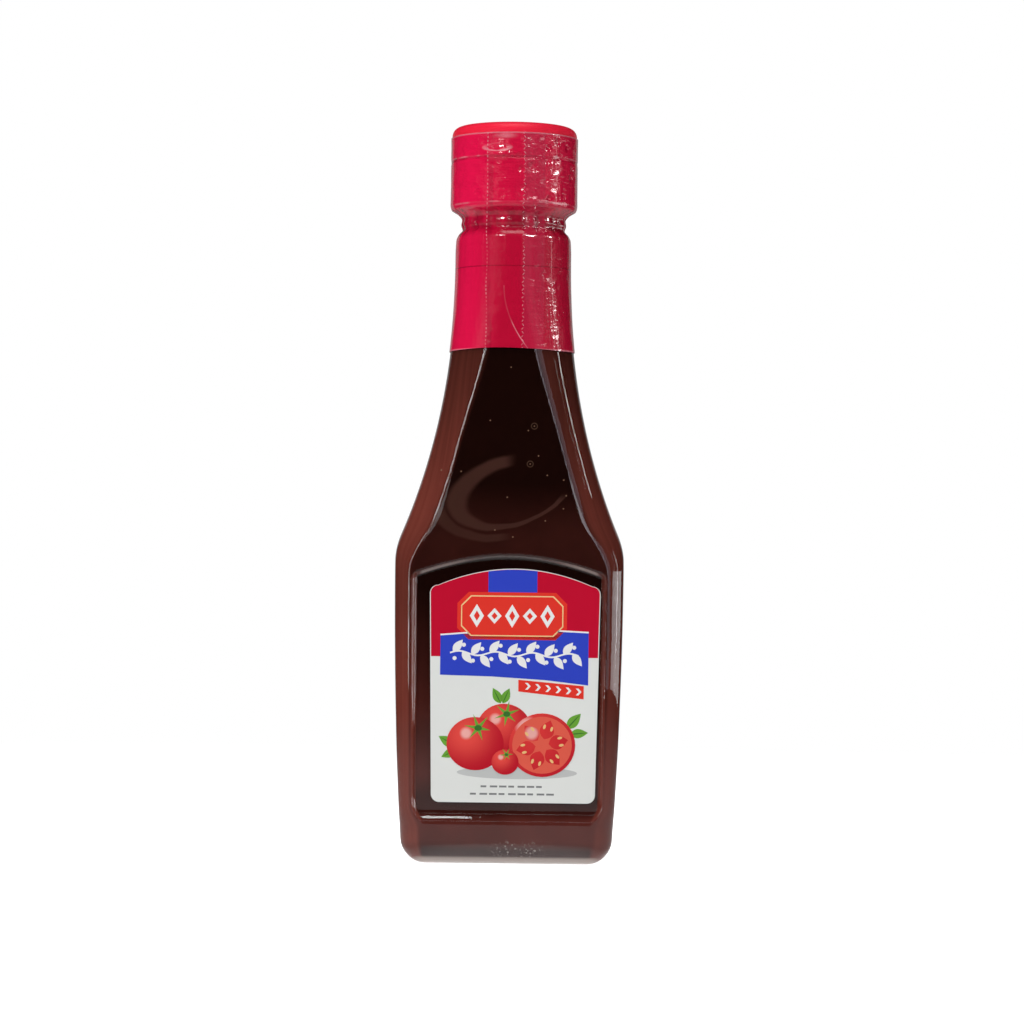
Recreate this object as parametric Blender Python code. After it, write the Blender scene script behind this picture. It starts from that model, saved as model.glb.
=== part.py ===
"""Ketchup bottle, 340 g: a clear squeeze bottle with an arched label panel front and back, filled with
ketchup, shut by a flip-top cap, with a red shrink sleeve over the cap and the neck.

Metres, +Z up, the front faces -Y, and the origin is under the middle of the foot.
"""

import math

import bmesh
import bpy
from mathutils import Vector

MM = 0.001

# Body of the bottle: half sizes under the shoulder and at the foot
BODY_HALF_WIDTH = 30.55 * MM
BODY_HALF_DEPTH = 23.0 * MM
FOOT_HALF_WIDTH = 27.9 * MM
FOOT_HALF_DEPTH = 21.4 * MM
BODY_TOP_Z = 81.0 * MM

# Shoulder: it sweeps in from the body to the round neck
SHOULDER_Z = 84.5 * MM
NECK_Z = 165.0 * MM
NECK_RADIUS = 15.5 * MM
SHOULDER_POWER = 2.33
SHOULDER_ROUNDING = 1.6 * MM

# Half width of the flat front between the rounded corners, at heights from the plinth to the neck
FRONT_FLAT = (
    (10.0 * MM, 22.2 * MM),
    (16.0 * MM, 25.2 * MM),
    (77.5 * MM, 25.6 * MM),
    (92.0 * MM, 18.4 * MM),
    (117.0 * MM, 10.9 * MM),
    (138.0 * MM, 4.5 * MM),
    (158.0 * MM, 0.0),
)

# Neck finish, round, under the cap: heights and radii
NECK_FINISH = (
    (165.0 * MM, 15.5 * MM),
    (168.2 * MM, 15.2 * MM),
    (171.0 * MM, 13.0 * MM),
    (172.4 * MM, 13.8 * MM),
    (173.7 * MM, 13.1 * MM),
    (176.0 * MM, 13.1 * MM),
)
MOUTH_Z = 186.6 * MM
MOUTH_WALL = 1.8 * MM

# Foot: rounded heel, flat land to stand on, and a shallow push-up
HEEL_RADIUS = 6.5 * MM
HEEL_STEPS = 4
LAND_INSET = 10.0 * MM
PUSH_UP_INSET = 14.0 * MM
PUSH_UP = 2.0 * MM
LEAST_CORNER = 1.5 * MM

# Recessed label panel, front and back
PANEL_DEPTH = 1.2 * MM
PANEL_SHARE = 0.965
PANEL_FOOT_OUT_Z = 11.0 * MM
PANEL_FOOT_IN_Z = 14.2 * MM
PANEL_TOP_IN_Z = 76.2 * MM
PANEL_TOP_OUT_Z = 77.5 * MM
ARCH_RISE = 5.2 * MM
ARCH_FADE_LOW = (20.0 * MM, 70.0 * MM)
ARCH_FADE_HIGH = (79.0 * MM, 108.0 * MM)

# Wall of the bottle and the filling inside it
WALL = 0.9 * MM
GAP = 0.3 * MM
FILL_Z = 160.0 * MM

# Flip-top cap, moulded as a base and a lid
CAP_RADIUS = 17.0 * MM
CAP_WALL = 1.6 * MM
CAP_FOOT_Z = 176.8 * MM
SEAM_Z = 189.3 * MM
SEAM_GAP = 0.4 * MM
DECK = 1.8 * MM
CAP_TOP_Z = 199.6 * MM
CAP_EDGE = 2.4 * MM
CAP_CROWN = 0.6 * MM
CAP_CHAMFER = 0.8 * MM
TAB_COLUMN = -2
TAB_PROUD = 0.5 * MM
TAB_HEIGHT = 1.9 * MM

# Shrink sleeve: the film as modelled, and heights and outer radii over neck and cap to its top edge
FILM = 0.15 * MM
FILM_GAP = 0.15 * MM
SLEEVE_OUTER = (
    (165.0 * MM, 15.8 * MM),
    (168.2 * MM, 15.6 * MM),
    (169.6 * MM, 15.0 * MM),
    (171.0 * MM, 13.9 * MM),
    (172.4 * MM, 14.3 * MM),
    (173.8 * MM, 14.1 * MM),
    (175.2 * MM, 15.1 * MM),
    (176.5 * MM, 17.0 * MM),
    (178.0 * MM, 17.3 * MM),
    (189.0 * MM, 17.3 * MM),
    (191.4 * MM, 17.3 * MM),
    (196.0 * MM, 17.3 * MM),
)

# Labels: half widths, heights, and how far the front one sits to the right
LABEL_HALF_TOP = 22.7 * MM
LABEL_HALF_FOOT = 21.8 * MM
LABEL_FOOT_Z = 16.6 * MM
LABEL_CORNER_Z = 74.3 * MM
LABEL_RISE = 4.5 * MM
LABEL_RADIUS = 2.2 * MM
LABEL_OFFSET = 1.65 * MM
LABEL_FILM = 0.2 * MM
LABEL_GAP = 0.2 * MM
LABEL_CORNER_STEPS = 4
LABEL_ARCH_STEPS = 12

# Columns of the mesh in a quarter turn, as a stretch of the section and a share of that stretch
FLAT, CORNER, SIDE = range(3)
QUARTER = (
    (FLAT, 0.0),
    (FLAT, 0.34),
    (FLAT, 0.68),
    (FLAT, PANEL_SHARE),
    (FLAT, 1.0),
    (CORNER, 0.2),
    (CORNER, 0.4),
    (CORNER, 0.6),
    (CORNER, 0.8),
    (SIDE, 0.0),
    (SIDE, 0.5),
    (SIDE, 1.0),
)
QUARTER_STEPS = len(QUARTER) - 1
COLUMNS = 4 * QUARTER_STEPS
EVEN_FROM_Z = 86.0 * MM
EVEN_BY_Z = 135.0 * MM

# Heights of the rings of the mesh. The sleeve's foot is on the last ring but one of the shoulder.
BODY_RINGS = (PANEL_FOOT_OUT_Z, PANEL_FOOT_IN_Z, 35.0 * MM, 56.0 * MM, PANEL_TOP_IN_Z, PANEL_TOP_OUT_Z)
SHOULDER_RINGS = tuple(
    height * MM for height in (79.4, 81.6, 84.0, 86.5, 90.0, 95.0, 101.0, 109.0, 118.0, 128.0, 137.5, 150.0)
)
SLEEVE_RINGS = SHOULDER_RINGS[-2:]


def smooth_step(low, high, value):
    """0 below low, 1 above high, and a soft curve between."""
    share = min(max((value - low) / (high - low), 0.0), 1.0)
    return share * share * (3.0 - 2.0 * share)


def smooth_least(first, second, width):
    """The lesser of two values, rounded off where they are within width of each other."""
    nearness = max(width - abs(first - second), 0.0) / width
    return min(first, second) - nearness * nearness * width / 4.0


def along(stations, height):
    """The value at a height on a smooth curve through (height, value) stations that never overshoots."""
    if height <= stations[0][0]:
        return stations[0][1]
    if height >= stations[-1][0]:
        return stations[-1][1]
    spans = [b[0] - a[0] for a, b in zip(stations, stations[1:])]
    slopes = [(b[1] - a[1]) / span for a, b, span in zip(stations, stations[1:], spans)]
    tangents = [slopes[0]]
    for left, right in zip(slopes, slopes[1:]):
        tangents.append(0.0 if left * right <= 0.0 else 2.0 * left * right / (left + right))
    tangents.append(slopes[-1])
    place = max(i for i, station in enumerate(stations[:-1]) if station[0] <= height)
    span = spans[place]
    share = (height - stations[place][0]) / span
    rest = 1.0 - share
    return (
        (1.0 + 2.0 * share) * rest * rest * stations[place][1]
        + share * rest * rest * span * tangents[place]
        + share * share * (3.0 - 2.0 * share) * stations[place + 1][1]
        - share * share * rest * span * tangents[place + 1]
    )


def half_size(height, under_shoulder, at_foot, power):
    """Half the width or the depth of the bottle: a tapered body under a shoulder that sweeps in to the neck."""
    below = max(1.0 - height / BODY_TOP_Z, 0.0)
    body = under_shoulder - (under_shoulder - at_foot) * below**power
    left = (NECK_Z - height) / (NECK_Z - SHOULDER_Z)
    shoulder = NECK_RADIUS + (under_shoulder - NECK_RADIUS) * left**SHOULDER_POWER
    return smooth_least(body, shoulder, SHOULDER_ROUNDING)


def section_at(height):
    """Half width, half depth and half flat front of the bottle's outside at a height."""
    if height >= NECK_Z:
        radius = along(NECK_FINISH, height)
        return radius, radius, 0.0
    half_width = half_size(height, BODY_HALF_WIDTH, FOOT_HALF_WIDTH, 2.0)
    half_depth = half_size(height, BODY_HALF_DEPTH, FOOT_HALF_DEPTH, 1.0)
    return half_width, half_depth, along(FRONT_FLAT, height)


def point_on_section(half_width, half_depth, flat, inset, column, evenness):
    """The place of a quarter's column on a rounded oblong, drawn in by inset.

    Its columns stand at named shares of the flats and the corner, or evenly along it as evenness nears 1.
    """
    radius = max(half_width - flat - inset, min(LEAST_CORNER, half_depth - inset))
    flat = half_width - inset - radius
    side = max(half_depth - inset - radius, 0.0)
    turn = radius * math.pi / 2.0
    stretch, share = QUARTER[column]
    own_length = (share * flat, flat + share * turn, flat + turn + share * side)[stretch]
    even_length = column / QUARTER_STEPS * (flat + turn + side)
    length = own_length + (even_length - own_length) * evenness
    if length <= flat:
        return length, -(half_depth - inset)
    if length >= flat + turn:
        return half_width - inset, -(side - (length - flat - turn))
    angle = (length - flat) / radius
    return flat + radius * math.sin(angle), -side - radius * math.cos(angle)


def column_of(index):
    """(quarter's column, sign of x, sign of y) for a column counted from the front middle, anticlockwise."""
    quarter, step = divmod(index % COLUMNS, QUARTER_STEPS)
    column = QUARTER_STEPS - step if quarter % 2 else step
    return column, 1.0 if quarter < 2 else -1.0, 1.0 if quarter in (0, 3) else -1.0


def bottle_point(index, height, inset):
    """A point of the bottle's skin, drawn in by inset, on a column at a ring's nominal height."""
    column, sign_x, sign_y = column_of(index)
    stretch, share = QUARTER[column]
    lift = 0.0
    if stretch == FLAT:
        fade = smooth_step(*ARCH_FADE_LOW, height) * (1.0 - smooth_step(*ARCH_FADE_HIGH, height))
        lift = ARCH_RISE * (1.0 - share * share) * fade
    true_height = height + lift
    half_width, half_depth, flat = section_at(true_height)
    evenness = smooth_step(EVEN_FROM_Z, EVEN_BY_Z, true_height)
    x, y = point_on_section(half_width, half_depth, flat, inset, column, evenness)
    if stretch == FLAT and share <= PANEL_SHARE and PANEL_FOOT_IN_Z <= height <= PANEL_TOP_IN_Z:
        y += PANEL_DEPTH
    return Vector((sign_x * x, sign_y * y, true_height))


def round_point(index, radius, height):
    """A point of a round ring, on the columns that the bottle's neck has."""
    angle = 2.0 * math.pi * index / COLUMNS
    return Vector((radius * math.sin(angle), -radius * math.cos(angle), height))


def foot_rings(inset):
    """Rings of the foot from its middle out and up the heel, as (height, inset) pairs."""
    rings = [(PUSH_UP + inset, PUSH_UP_INSET), (inset, LAND_INSET)]
    for step in range(HEEL_STEPS + 1):
        angle = math.pi / 2.0 * step / HEEL_STEPS
        reach = HEEL_RADIUS - inset
        rings.append((HEEL_RADIUS - reach * math.cos(angle), HEEL_RADIUS - reach * math.sin(angle)))
    return rings


def bottle_rings(inset, top):
    """Rings of points from the middle of the foot to a height under the neck finish."""
    rings = foot_rings(inset)
    rings += [(height, inset) for height in BODY_RINGS + SHOULDER_RINGS if height < top]
    return [[bottle_point(index, height, drawn) for index in range(COLUMNS)] for height, drawn in rings]


def round_rings(stations):
    """Rings of points from (radius, height) pairs."""
    return [[round_point(index, radius, height) for index in range(COLUMNS)] for radius, height in stations]


def closed_tube(name, rings, closed_round=False):
    """A body whose skin passes through the rings in order.

    A tube is extruded one step a ring and its corners are then put in place. Its two ends are filled, or joined
    to each other where the rings come back round to the first.
    """
    mesh = bmesh.new()
    bmesh.ops.create_circle(mesh, cap_ends=not closed_round, segments=COLUMNS, radius=1.0)
    edges = list(mesh.edges)
    first_edges = list(edges)
    for _ in rings[1:]:
        made = bmesh.ops.extrude_edge_only(mesh, edges=edges)["geom"]
        corners = {corner for corner in made if isinstance(corner, bmesh.types.BMVert)}
        bmesh.ops.translate(mesh, verts=list(corners), vec=(0.0, 0.0, 1.0))
        edges = [edge for edge in made if isinstance(edge, bmesh.types.BMEdge) and corners.issuperset(edge.verts)]
    if closed_round:
        bmesh.ops.bridge_loops(mesh, edges=first_edges + edges)
    else:
        bmesh.ops.contextual_create(mesh, geom=edges)
    for corner in mesh.verts:
        turn = math.atan2(corner.co.x, -corner.co.y) / (2.0 * math.pi)
        corner.co = rings[round(corner.co.z)][round(turn * COLUMNS) % COLUMNS]
    return finished(name, mesh)


def finished(name, mesh):
    """Turns a bmesh into an object in the scene, split alike everywhere, faces outwards and shaded smooth."""
    bmesh.ops.recalc_face_normals(mesh, faces=list(mesh.faces))
    bmesh.ops.triangulate(mesh, faces=list(mesh.faces), quad_method="SHORT_EDGE", ngon_method="BEAUTY")
    if mesh.calc_volume(signed=True) < 0.0:
        bmesh.ops.reverse_faces(mesh, faces=list(mesh.faces))
    data = bpy.data.meshes.new(name)
    mesh.to_mesh(data)
    mesh.free()
    data.shade_smooth()
    data.set_sharp_from_angle(angle=math.radians(35.0))
    made = bpy.data.objects.new(name, data)
    bpy.context.scene.collection.objects.link(made)
    return made


def dress(piece, colour, roughness, alpha=1.0, transmission=0.0):
    """Gives a piece its own material."""
    material = bpy.data.materials.new(piece.name + "_finish")
    material.use_nodes = True
    shader = material.node_tree.nodes["Principled BSDF"]
    shader.inputs["Base Color"].default_value = (*colour, 1.0)
    shader.inputs["Roughness"].default_value = roughness
    shader.inputs["Metallic"].default_value = 0.0
    shader.inputs["Alpha"].default_value = alpha
    shader.inputs["Transmission Weight"].default_value = transmission
    piece.data.materials.append(material)


def make_bottle():
    """The clear bottle: its outside up to the mouth, then its inside back down to the floor."""
    finish = [(along(NECK_FINISH, height), height) for height, _ in NECK_FINISH]
    rim = [(NECK_FINISH[-1][1], MOUTH_Z)]
    bore = NECK_FINISH[-1][1] - MOUTH_WALL
    throat = [(bore, MOUTH_Z), (bore, NECK_FINISH[3][0]), (NECK_RADIUS - WALL, NECK_FINISH[0][0])]
    outside = bottle_rings(0.0, NECK_Z) + round_rings(finish + rim)
    inside = round_rings(throat) + bottle_rings(WALL, NECK_Z)[::-1]
    bottle = closed_tube("bottle", outside + inside)
    dress(bottle, (0.92, 0.93, 0.94), 0.06, alpha=0.3, transmission=1.0)


def make_ketchup():
    """The filling, a little smaller than the inside, up to its level in the neck."""
    inset = WALL + GAP
    top = [(NECK_RADIUS - inset, FILL_Z)]
    ketchup = closed_tube("ketchup", bottle_rings(inset, FILL_Z) + round_rings(top))
    dress(ketchup, (0.055, 0.010, 0.007), 0.35)


def make_cap_base():
    """The lower part of the cap: a skirt round the mouth under a closed deck."""
    inner = CAP_RADIUS - CAP_WALL
    top = SEAM_Z - SEAM_GAP / 2.0
    stations = [
        (inner / 2.0, top - DECK),
        (inner, top - DECK),
        (inner, CAP_FOOT_Z),
        (CAP_RADIUS - CAP_CHAMFER, CAP_FOOT_Z),
        (CAP_RADIUS, CAP_FOOT_Z + CAP_CHAMFER),
        (CAP_RADIUS, top),
        (inner / 2.0, top),
    ]
    dress(closed_tube("cap_base", round_rings(stations)), (0.60, 0.01, 0.045), 0.35)


def make_cap_lid():
    """The lid: a shallow cup with a rounded rim, a faint crown, and a thumb tab on its lower edge at the front."""
    inner = CAP_RADIUS - CAP_WALL
    foot = SEAM_Z + SEAM_GAP / 2.0
    edge_z = CAP_TOP_Z - CAP_CROWN - CAP_EDGE
    stations = [
        (inner / 2.0, CAP_TOP_Z - CAP_CROWN - CAP_WALL),
        (inner - CAP_EDGE / 2.0, CAP_TOP_Z - CAP_CROWN - CAP_WALL),
        (inner, edge_z),
        (inner, foot),
        (CAP_RADIUS, foot),
        (CAP_RADIUS, foot + TAB_HEIGHT),
        (CAP_RADIUS, edge_z),
        (CAP_RADIUS - 0.3 * CAP_EDGE, edge_z + 0.7 * CAP_EDGE),
        (CAP_RADIUS - CAP_EDGE, edge_z + CAP_EDGE),
        (CAP_RADIUS / 2.0, CAP_TOP_Z - CAP_CROWN / 4.0),
        (CAP_RADIUS / 6.0, CAP_TOP_Z),
    ]
    rings = round_rings(stations)
    for step in (-1, 0, 1):
        index = (TAB_COLUMN + step) % COLUMNS
        rings[4][index] = round_point(index, CAP_RADIUS + TAB_PROUD, foot)
    dress(closed_tube("cap_lid", rings), (0.75, 0.02, 0.06), 0.35)


def sleeve_point(index, station, drawn):
    """A point of the sleeve, drawn in by drawn from its outside, with a bulge over the cap's thumb tab."""
    height, radius = station
    bulge = 0.0
    if SEAM_Z - TAB_HEIGHT < height < SEAM_Z + TAB_HEIGHT:
        steps_off = (index - TAB_COLUMN + COLUMNS // 2) % COLUMNS - COLUMNS // 2
        bulge = TAB_PROUD if abs(steps_off) <= 1 else 0.0
    return round_point(index, radius + bulge - drawn, height)


def sleeve_skin(drawn):
    """Rings of the sleeve from its foot to its top edge, drawn in by drawn from its outside."""
    standoff = FILM_GAP + FILM - drawn
    rings = []
    for height in SLEEVE_RINGS:
        rings.append([bottle_point(index, height, -standoff) for index in range(COLUMNS)])
    for station in SLEEVE_OUTER:
        rings.append([sleeve_point(index, station, drawn) for index in range(COLUMNS)])
    return rings


def make_sleeve():
    """The shrink sleeve: one thin film from the top of the shoulder over the neck and the cap's side."""
    sleeve = closed_tube("shrink_sleeve", sleeve_skin(0.0) + sleeve_skin(FILM)[::-1], closed_round=True)
    dress(sleeve, (0.55, 0.008, 0.035), 0.22)


def label_outline():
    """Corners of a label seen from the front, anticlockwise: straight foot, arched top, rounded corners."""

    def rounded(centre_x, centre_z, start):
        for step in range(LABEL_CORNER_STEPS + 1):
            angle = math.radians(start + 90.0 * step / LABEL_CORNER_STEPS)
            yield centre_x + LABEL_RADIUS * math.cos(angle), centre_z + LABEL_RADIUS * math.sin(angle)

    low, high = LABEL_FOOT_Z + LABEL_RADIUS, LABEL_CORNER_Z - LABEL_RADIUS
    reach_low, reach_high = LABEL_HALF_FOOT - LABEL_RADIUS, LABEL_HALF_TOP - LABEL_RADIUS
    outline = list(rounded(reach_low, low, -90.0)) + list(rounded(reach_high, high, 0.0))
    for step in range(1, LABEL_ARCH_STEPS):
        share = 1.0 - 2.0 * step / LABEL_ARCH_STEPS
        outline.append((share * reach_high, LABEL_CORNER_Z + LABEL_RISE * (1.0 - share * share)))
    return outline + list(rounded(-reach_high, high, 90.0)) + list(rounded(-reach_low, low, 180.0))


def make_label(name, facing, offset):
    """A printed film label in the panel, on the front (facing -1) or the back (facing 1)."""

    def panel_y(height):
        return half_size(height, BODY_HALF_DEPTH, FOOT_HALF_DEPTH, 1.0) - PANEL_DEPTH

    mesh = bmesh.new()
    corners = [mesh.verts.new((x + offset, 0.0, z)) for x, z in label_outline()]
    face = mesh.faces.new(corners)
    made = bmesh.ops.extrude_face_region(mesh, geom=[face])["geom"]
    outer = {corner for corner in made if isinstance(corner, bmesh.types.BMVert)}
    for corner in mesh.verts:
        stand = LABEL_GAP + (LABEL_FILM if corner in outer else 0.0)
        least = min(corner.co.z, PANEL_TOP_OUT_Z)
        corner.co.y = facing * (panel_y(least) + stand)
    dress(finished(name, mesh), (0.75, 0.76, 0.75), 0.4)


def main():
    for old in list(bpy.data.objects):
        bpy.data.objects.remove(old)
    make_bottle()
    make_ketchup()
    make_cap_base()
    make_cap_lid()
    make_sleeve()
    make_label("front_label", -1.0, LABEL_OFFSET)
    make_label("back_label", 1.0, 0.0)


main()
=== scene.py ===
"""Looks of the ketchup bottle: clear bottle, dark sauce, red cap and shrink sleeve, and printed labels.

Metres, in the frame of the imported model: +Z up, the front faces -Y, the foot stands on z = 0.
"""

import logging
import math
import random
from collections.abc import Iterable, Sequence
from dataclasses import dataclass, field
from enum import Enum
from functools import cached_property

import bmesh
import bpy
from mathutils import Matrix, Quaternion, Vector


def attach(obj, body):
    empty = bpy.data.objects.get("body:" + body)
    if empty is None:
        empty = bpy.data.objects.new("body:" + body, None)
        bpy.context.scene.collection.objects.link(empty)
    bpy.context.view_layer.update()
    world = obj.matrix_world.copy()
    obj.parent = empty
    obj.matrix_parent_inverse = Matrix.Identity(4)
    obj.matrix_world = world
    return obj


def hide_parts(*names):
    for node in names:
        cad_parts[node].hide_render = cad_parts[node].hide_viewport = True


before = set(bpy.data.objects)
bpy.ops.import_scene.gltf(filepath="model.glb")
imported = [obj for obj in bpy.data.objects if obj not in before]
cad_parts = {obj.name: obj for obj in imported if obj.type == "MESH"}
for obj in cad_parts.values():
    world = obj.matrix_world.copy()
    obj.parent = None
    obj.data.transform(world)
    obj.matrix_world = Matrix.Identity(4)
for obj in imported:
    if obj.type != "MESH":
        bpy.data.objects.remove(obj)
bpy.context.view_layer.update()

MM = 0.001
LOG = logging.getLogger("ketchup_bottle")

Station = tuple[float, float]
Colour = tuple[float, float, float]
Ring = list[Vector]
Outline = list[Station]
Socket = bpy.types.NodeSocket
Value = Socket | float


class Facing(Enum):
    """The side of the bottle that a label is on, as the sign of its outward Y."""

    FRONT = -1.0
    BACK = 1.0


class Stretch(Enum):
    """A stretch of a quarter of the bottle's section, from the middle of the front to that of the side."""

    FLAT = 0
    CORNER = 1
    SIDE = 2


# Small sums


def in_mm(*places: Station) -> tuple[Station, ...]:
    """Turns places given in millimetres into metres."""
    return tuple((across * MM, up * MM) for across, up in places)


def smooth_step(low: float, high: float, value: float) -> float:
    """Eases from 0 below low to 1 above high.

    Args:
        low: Value where the step starts.
        high: Value where it ends.
        value: Value to read the step at.

    Returns:
        A share from 0 to 1.
    """
    share = min(max((value - low) / (high - low), 0.0), 1.0)
    return share * share * (3.0 - 2.0 * share)


def smooth_hump(rise: Station, fall: Station, value: float) -> float:
    """Eases from 0 to 1 over one range, and back to 0 over a later one.

    Args:
        rise: Where the rise starts and ends.
        fall: Where the fall starts and ends.
        value: Value to read the hump at.

    Returns:
        A share from 0 to 1.
    """
    return smooth_step(*rise, value) * (1.0 - smooth_step(*fall, value))


def smooth_least(first: float, second: float, width: float) -> float:
    """Takes the lesser of two values, rounded off where they are within width of each other.

    Args:
        first: One value.
        second: The other value.
        width: How near they are where the rounding starts.

    Returns:
        The rounded lesser value.
    """
    nearness = max(width - abs(first - second), 0.0) / width
    return min(first, second) - nearness * nearness * width / 4.0


def along(stations: Sequence[Station], height: float) -> float:
    """Reads a smooth curve through stations that never overshoots them.

    Args:
        stations: (height, value) pairs, lowest first.
        height: Height to read at.

    Returns:
        The value at that height.
    """
    if height <= stations[0][0]:
        return stations[0][1]
    if height >= stations[-1][0]:
        return stations[-1][1]
    spans = [b[0] - a[0] for a, b in zip(stations, stations[1:])]
    slopes = [(b[1] - a[1]) / span for a, b, span in zip(stations, stations[1:], spans)]
    tangents = [slopes[0]]
    for left, right in zip(slopes, slopes[1:]):
        tangents.append(0.0 if left * right <= 0.0 else 2.0 * left * right / (left + right))
    tangents.append(slopes[-1])
    place = max(i for i, station in enumerate(stations[:-1]) if station[0] <= height)
    span = spans[place]
    share = (height - stations[place][0]) / span
    rest = 1.0 - share
    return (
        (1.0 + 2.0 * share) * rest * rest * stations[place][1]
        + share * rest * rest * span * tangents[place]
        + share * share * (3.0 - 2.0 * share) * stations[place + 1][1]
        - share * share * rest * span * tangents[place + 1]
    )


def evenly(low: float, high: float, step: float) -> list[float]:
    """Lists heights about a step apart.

    Args:
        low: The first height.
        high: Where they end, itself left out.
        step: Step between them.

    Returns:
        The heights.
    """
    count = max(round((high - low) / step), 1)
    return [low + (high - low) * place / count for place in range(count)]


# Form of the bottle, in the sizes that the solids have


@dataclass(frozen=True)
class BottleForm:
    """Outside of the bottle: a tapered oblong body, a shoulder swept in to a round neck, and two panels."""

    body_half_width: float = 30.55 * MM
    body_half_depth: float = 23.0 * MM
    foot_half_width: float = 27.9 * MM
    foot_half_depth: float = 21.4 * MM
    body_top_z: float = 81.0 * MM
    shoulder_z: float = 84.5 * MM
    neck_z: float = 165.0 * MM
    neck_radius: float = 15.5 * MM
    shoulder_power: float = 2.33
    shoulder_rounding: float = 1.6 * MM
    front_flat: tuple[Station, ...] = in_mm(
        (10.0, 22.2), (16.0, 25.2), (77.5, 25.6), (92.0, 18.4), (117.0, 10.9), (138.0, 4.5),
        (158.0, 0.0),
    )
    finish: tuple[Station, ...] = in_mm(
        (165.0, 15.5), (168.2, 15.2), (171.0, 13.0), (172.4, 13.8), (173.7, 13.1), (176.0, 13.1),
    )
    mouth_z: float = 186.6 * MM
    heel_radius: float = 6.5 * MM
    land_inset: float = 10.0 * MM
    push_up_inset: float = 14.0 * MM
    push_up: float = 2.0 * MM
    least_corner: float = 1.5 * MM
    panel_depth: float = 1.2 * MM
    panel_share: float = 0.965
    panel_foot_out_z: float = 11.0 * MM
    panel_foot_in_z: float = 14.2 * MM
    panel_top_in_z: float = 76.2 * MM
    panel_top_out_z: float = 77.5 * MM
    arch_rise: float = 5.2 * MM
    arch_fade_low: Station = (20.0 * MM, 70.0 * MM)
    arch_fade_high: Station = (79.0 * MM, 108.0 * MM)
    even_from_z: float = 86.0 * MM
    even_by_z: float = 135.0 * MM
    edge_share: float = 0.93
    flat_steps: int = 12
    edge_steps: int = 6
    corner_steps: int = 12
    side_steps: int = 8

    @cached_property
    def quarter(self) -> list[tuple[Stretch, float]]:
        """Lists a quarter's columns.

        Returns:
            Each column's stretch of the section and its share of that stretch.
        """
        near = self.edge_share
        columns = [(Stretch.FLAT, near * step / self.flat_steps) for step in range(self.flat_steps)]
        columns += [
            (Stretch.FLAT, near + (1.0 - near) * step / self.edge_steps) for step in range(self.edge_steps)
        ]
        columns += [(Stretch.CORNER, step / self.corner_steps) for step in range(self.corner_steps)]
        return columns + [(Stretch.SIDE, step / self.side_steps) for step in range(self.side_steps + 1)]

    @property
    def columns(self) -> int:
        """Number of columns round the whole section."""
        return 4 * (self.flat_steps + self.edge_steps + self.corner_steps + self.side_steps)

    def half_size(self, height: float, under_shoulder: float, at_foot: float, power: float) -> float:
        """Works out half the width or depth of the outside.

        Args:
            height: Height above the foot.
            under_shoulder: The half size where the body ends.
            at_foot: The half size at the foot.
            power: 1 for a straight taper, 2 for one that bows.

        Returns:
            The half size at that height.
        """
        below = max(1.0 - height / self.body_top_z, 0.0)
        body = under_shoulder - (under_shoulder - at_foot) * below**power
        left = (self.neck_z - height) / (self.neck_z - self.shoulder_z)
        shoulder = self.neck_radius + (under_shoulder - self.neck_radius) * left**self.shoulder_power
        return smooth_least(body, shoulder, self.shoulder_rounding)

    def half_depth(self, height: float) -> float:
        """Half the depth of the outside at a height under the neck."""
        return self.half_size(height, self.body_half_depth, self.foot_half_depth, 1.0)

    def section_at(self, height: float) -> tuple[float, float, float]:
        """Works out the size of the section at a height.

        Args:
            height: Height above the foot.

        Returns:
            Half the width, half the depth, and half the width of the flat front.
        """
        if height >= self.neck_z:
            radius = along(self.finish, height)
            return radius, radius, 0.0
        half_width = self.half_size(height, self.body_half_width, self.foot_half_width, 2.0)
        return half_width, self.half_depth(height), along(self.front_flat, height)

    def recess(self, stretch: Stretch, share: float, height: float) -> float:
        """Works out how deep the panel lies below the front or back.

        Args:
            stretch: The column's stretch of the section.
            share: The column's share of that stretch.
            height: The ring's nominal height.

        Returns:
            The depth, 0 off the panel.
        """
        if stretch is not Stretch.FLAT:
            return 0.0
        aside = (share - self.panel_share) / (1.0 - self.panel_share)
        below = (self.panel_foot_in_z - height) / (self.panel_foot_in_z - self.panel_foot_out_z)
        above = (height - self.panel_top_in_z) / (self.panel_top_out_z - self.panel_top_in_z)
        off = min(math.hypot(max(aside, 0.0), max(below, above, 0.0)), 1.0)
        return self.panel_depth * (1.0 - 0.15 * off - 0.85 * smooth_step(0.0, 1.0, off))

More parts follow.
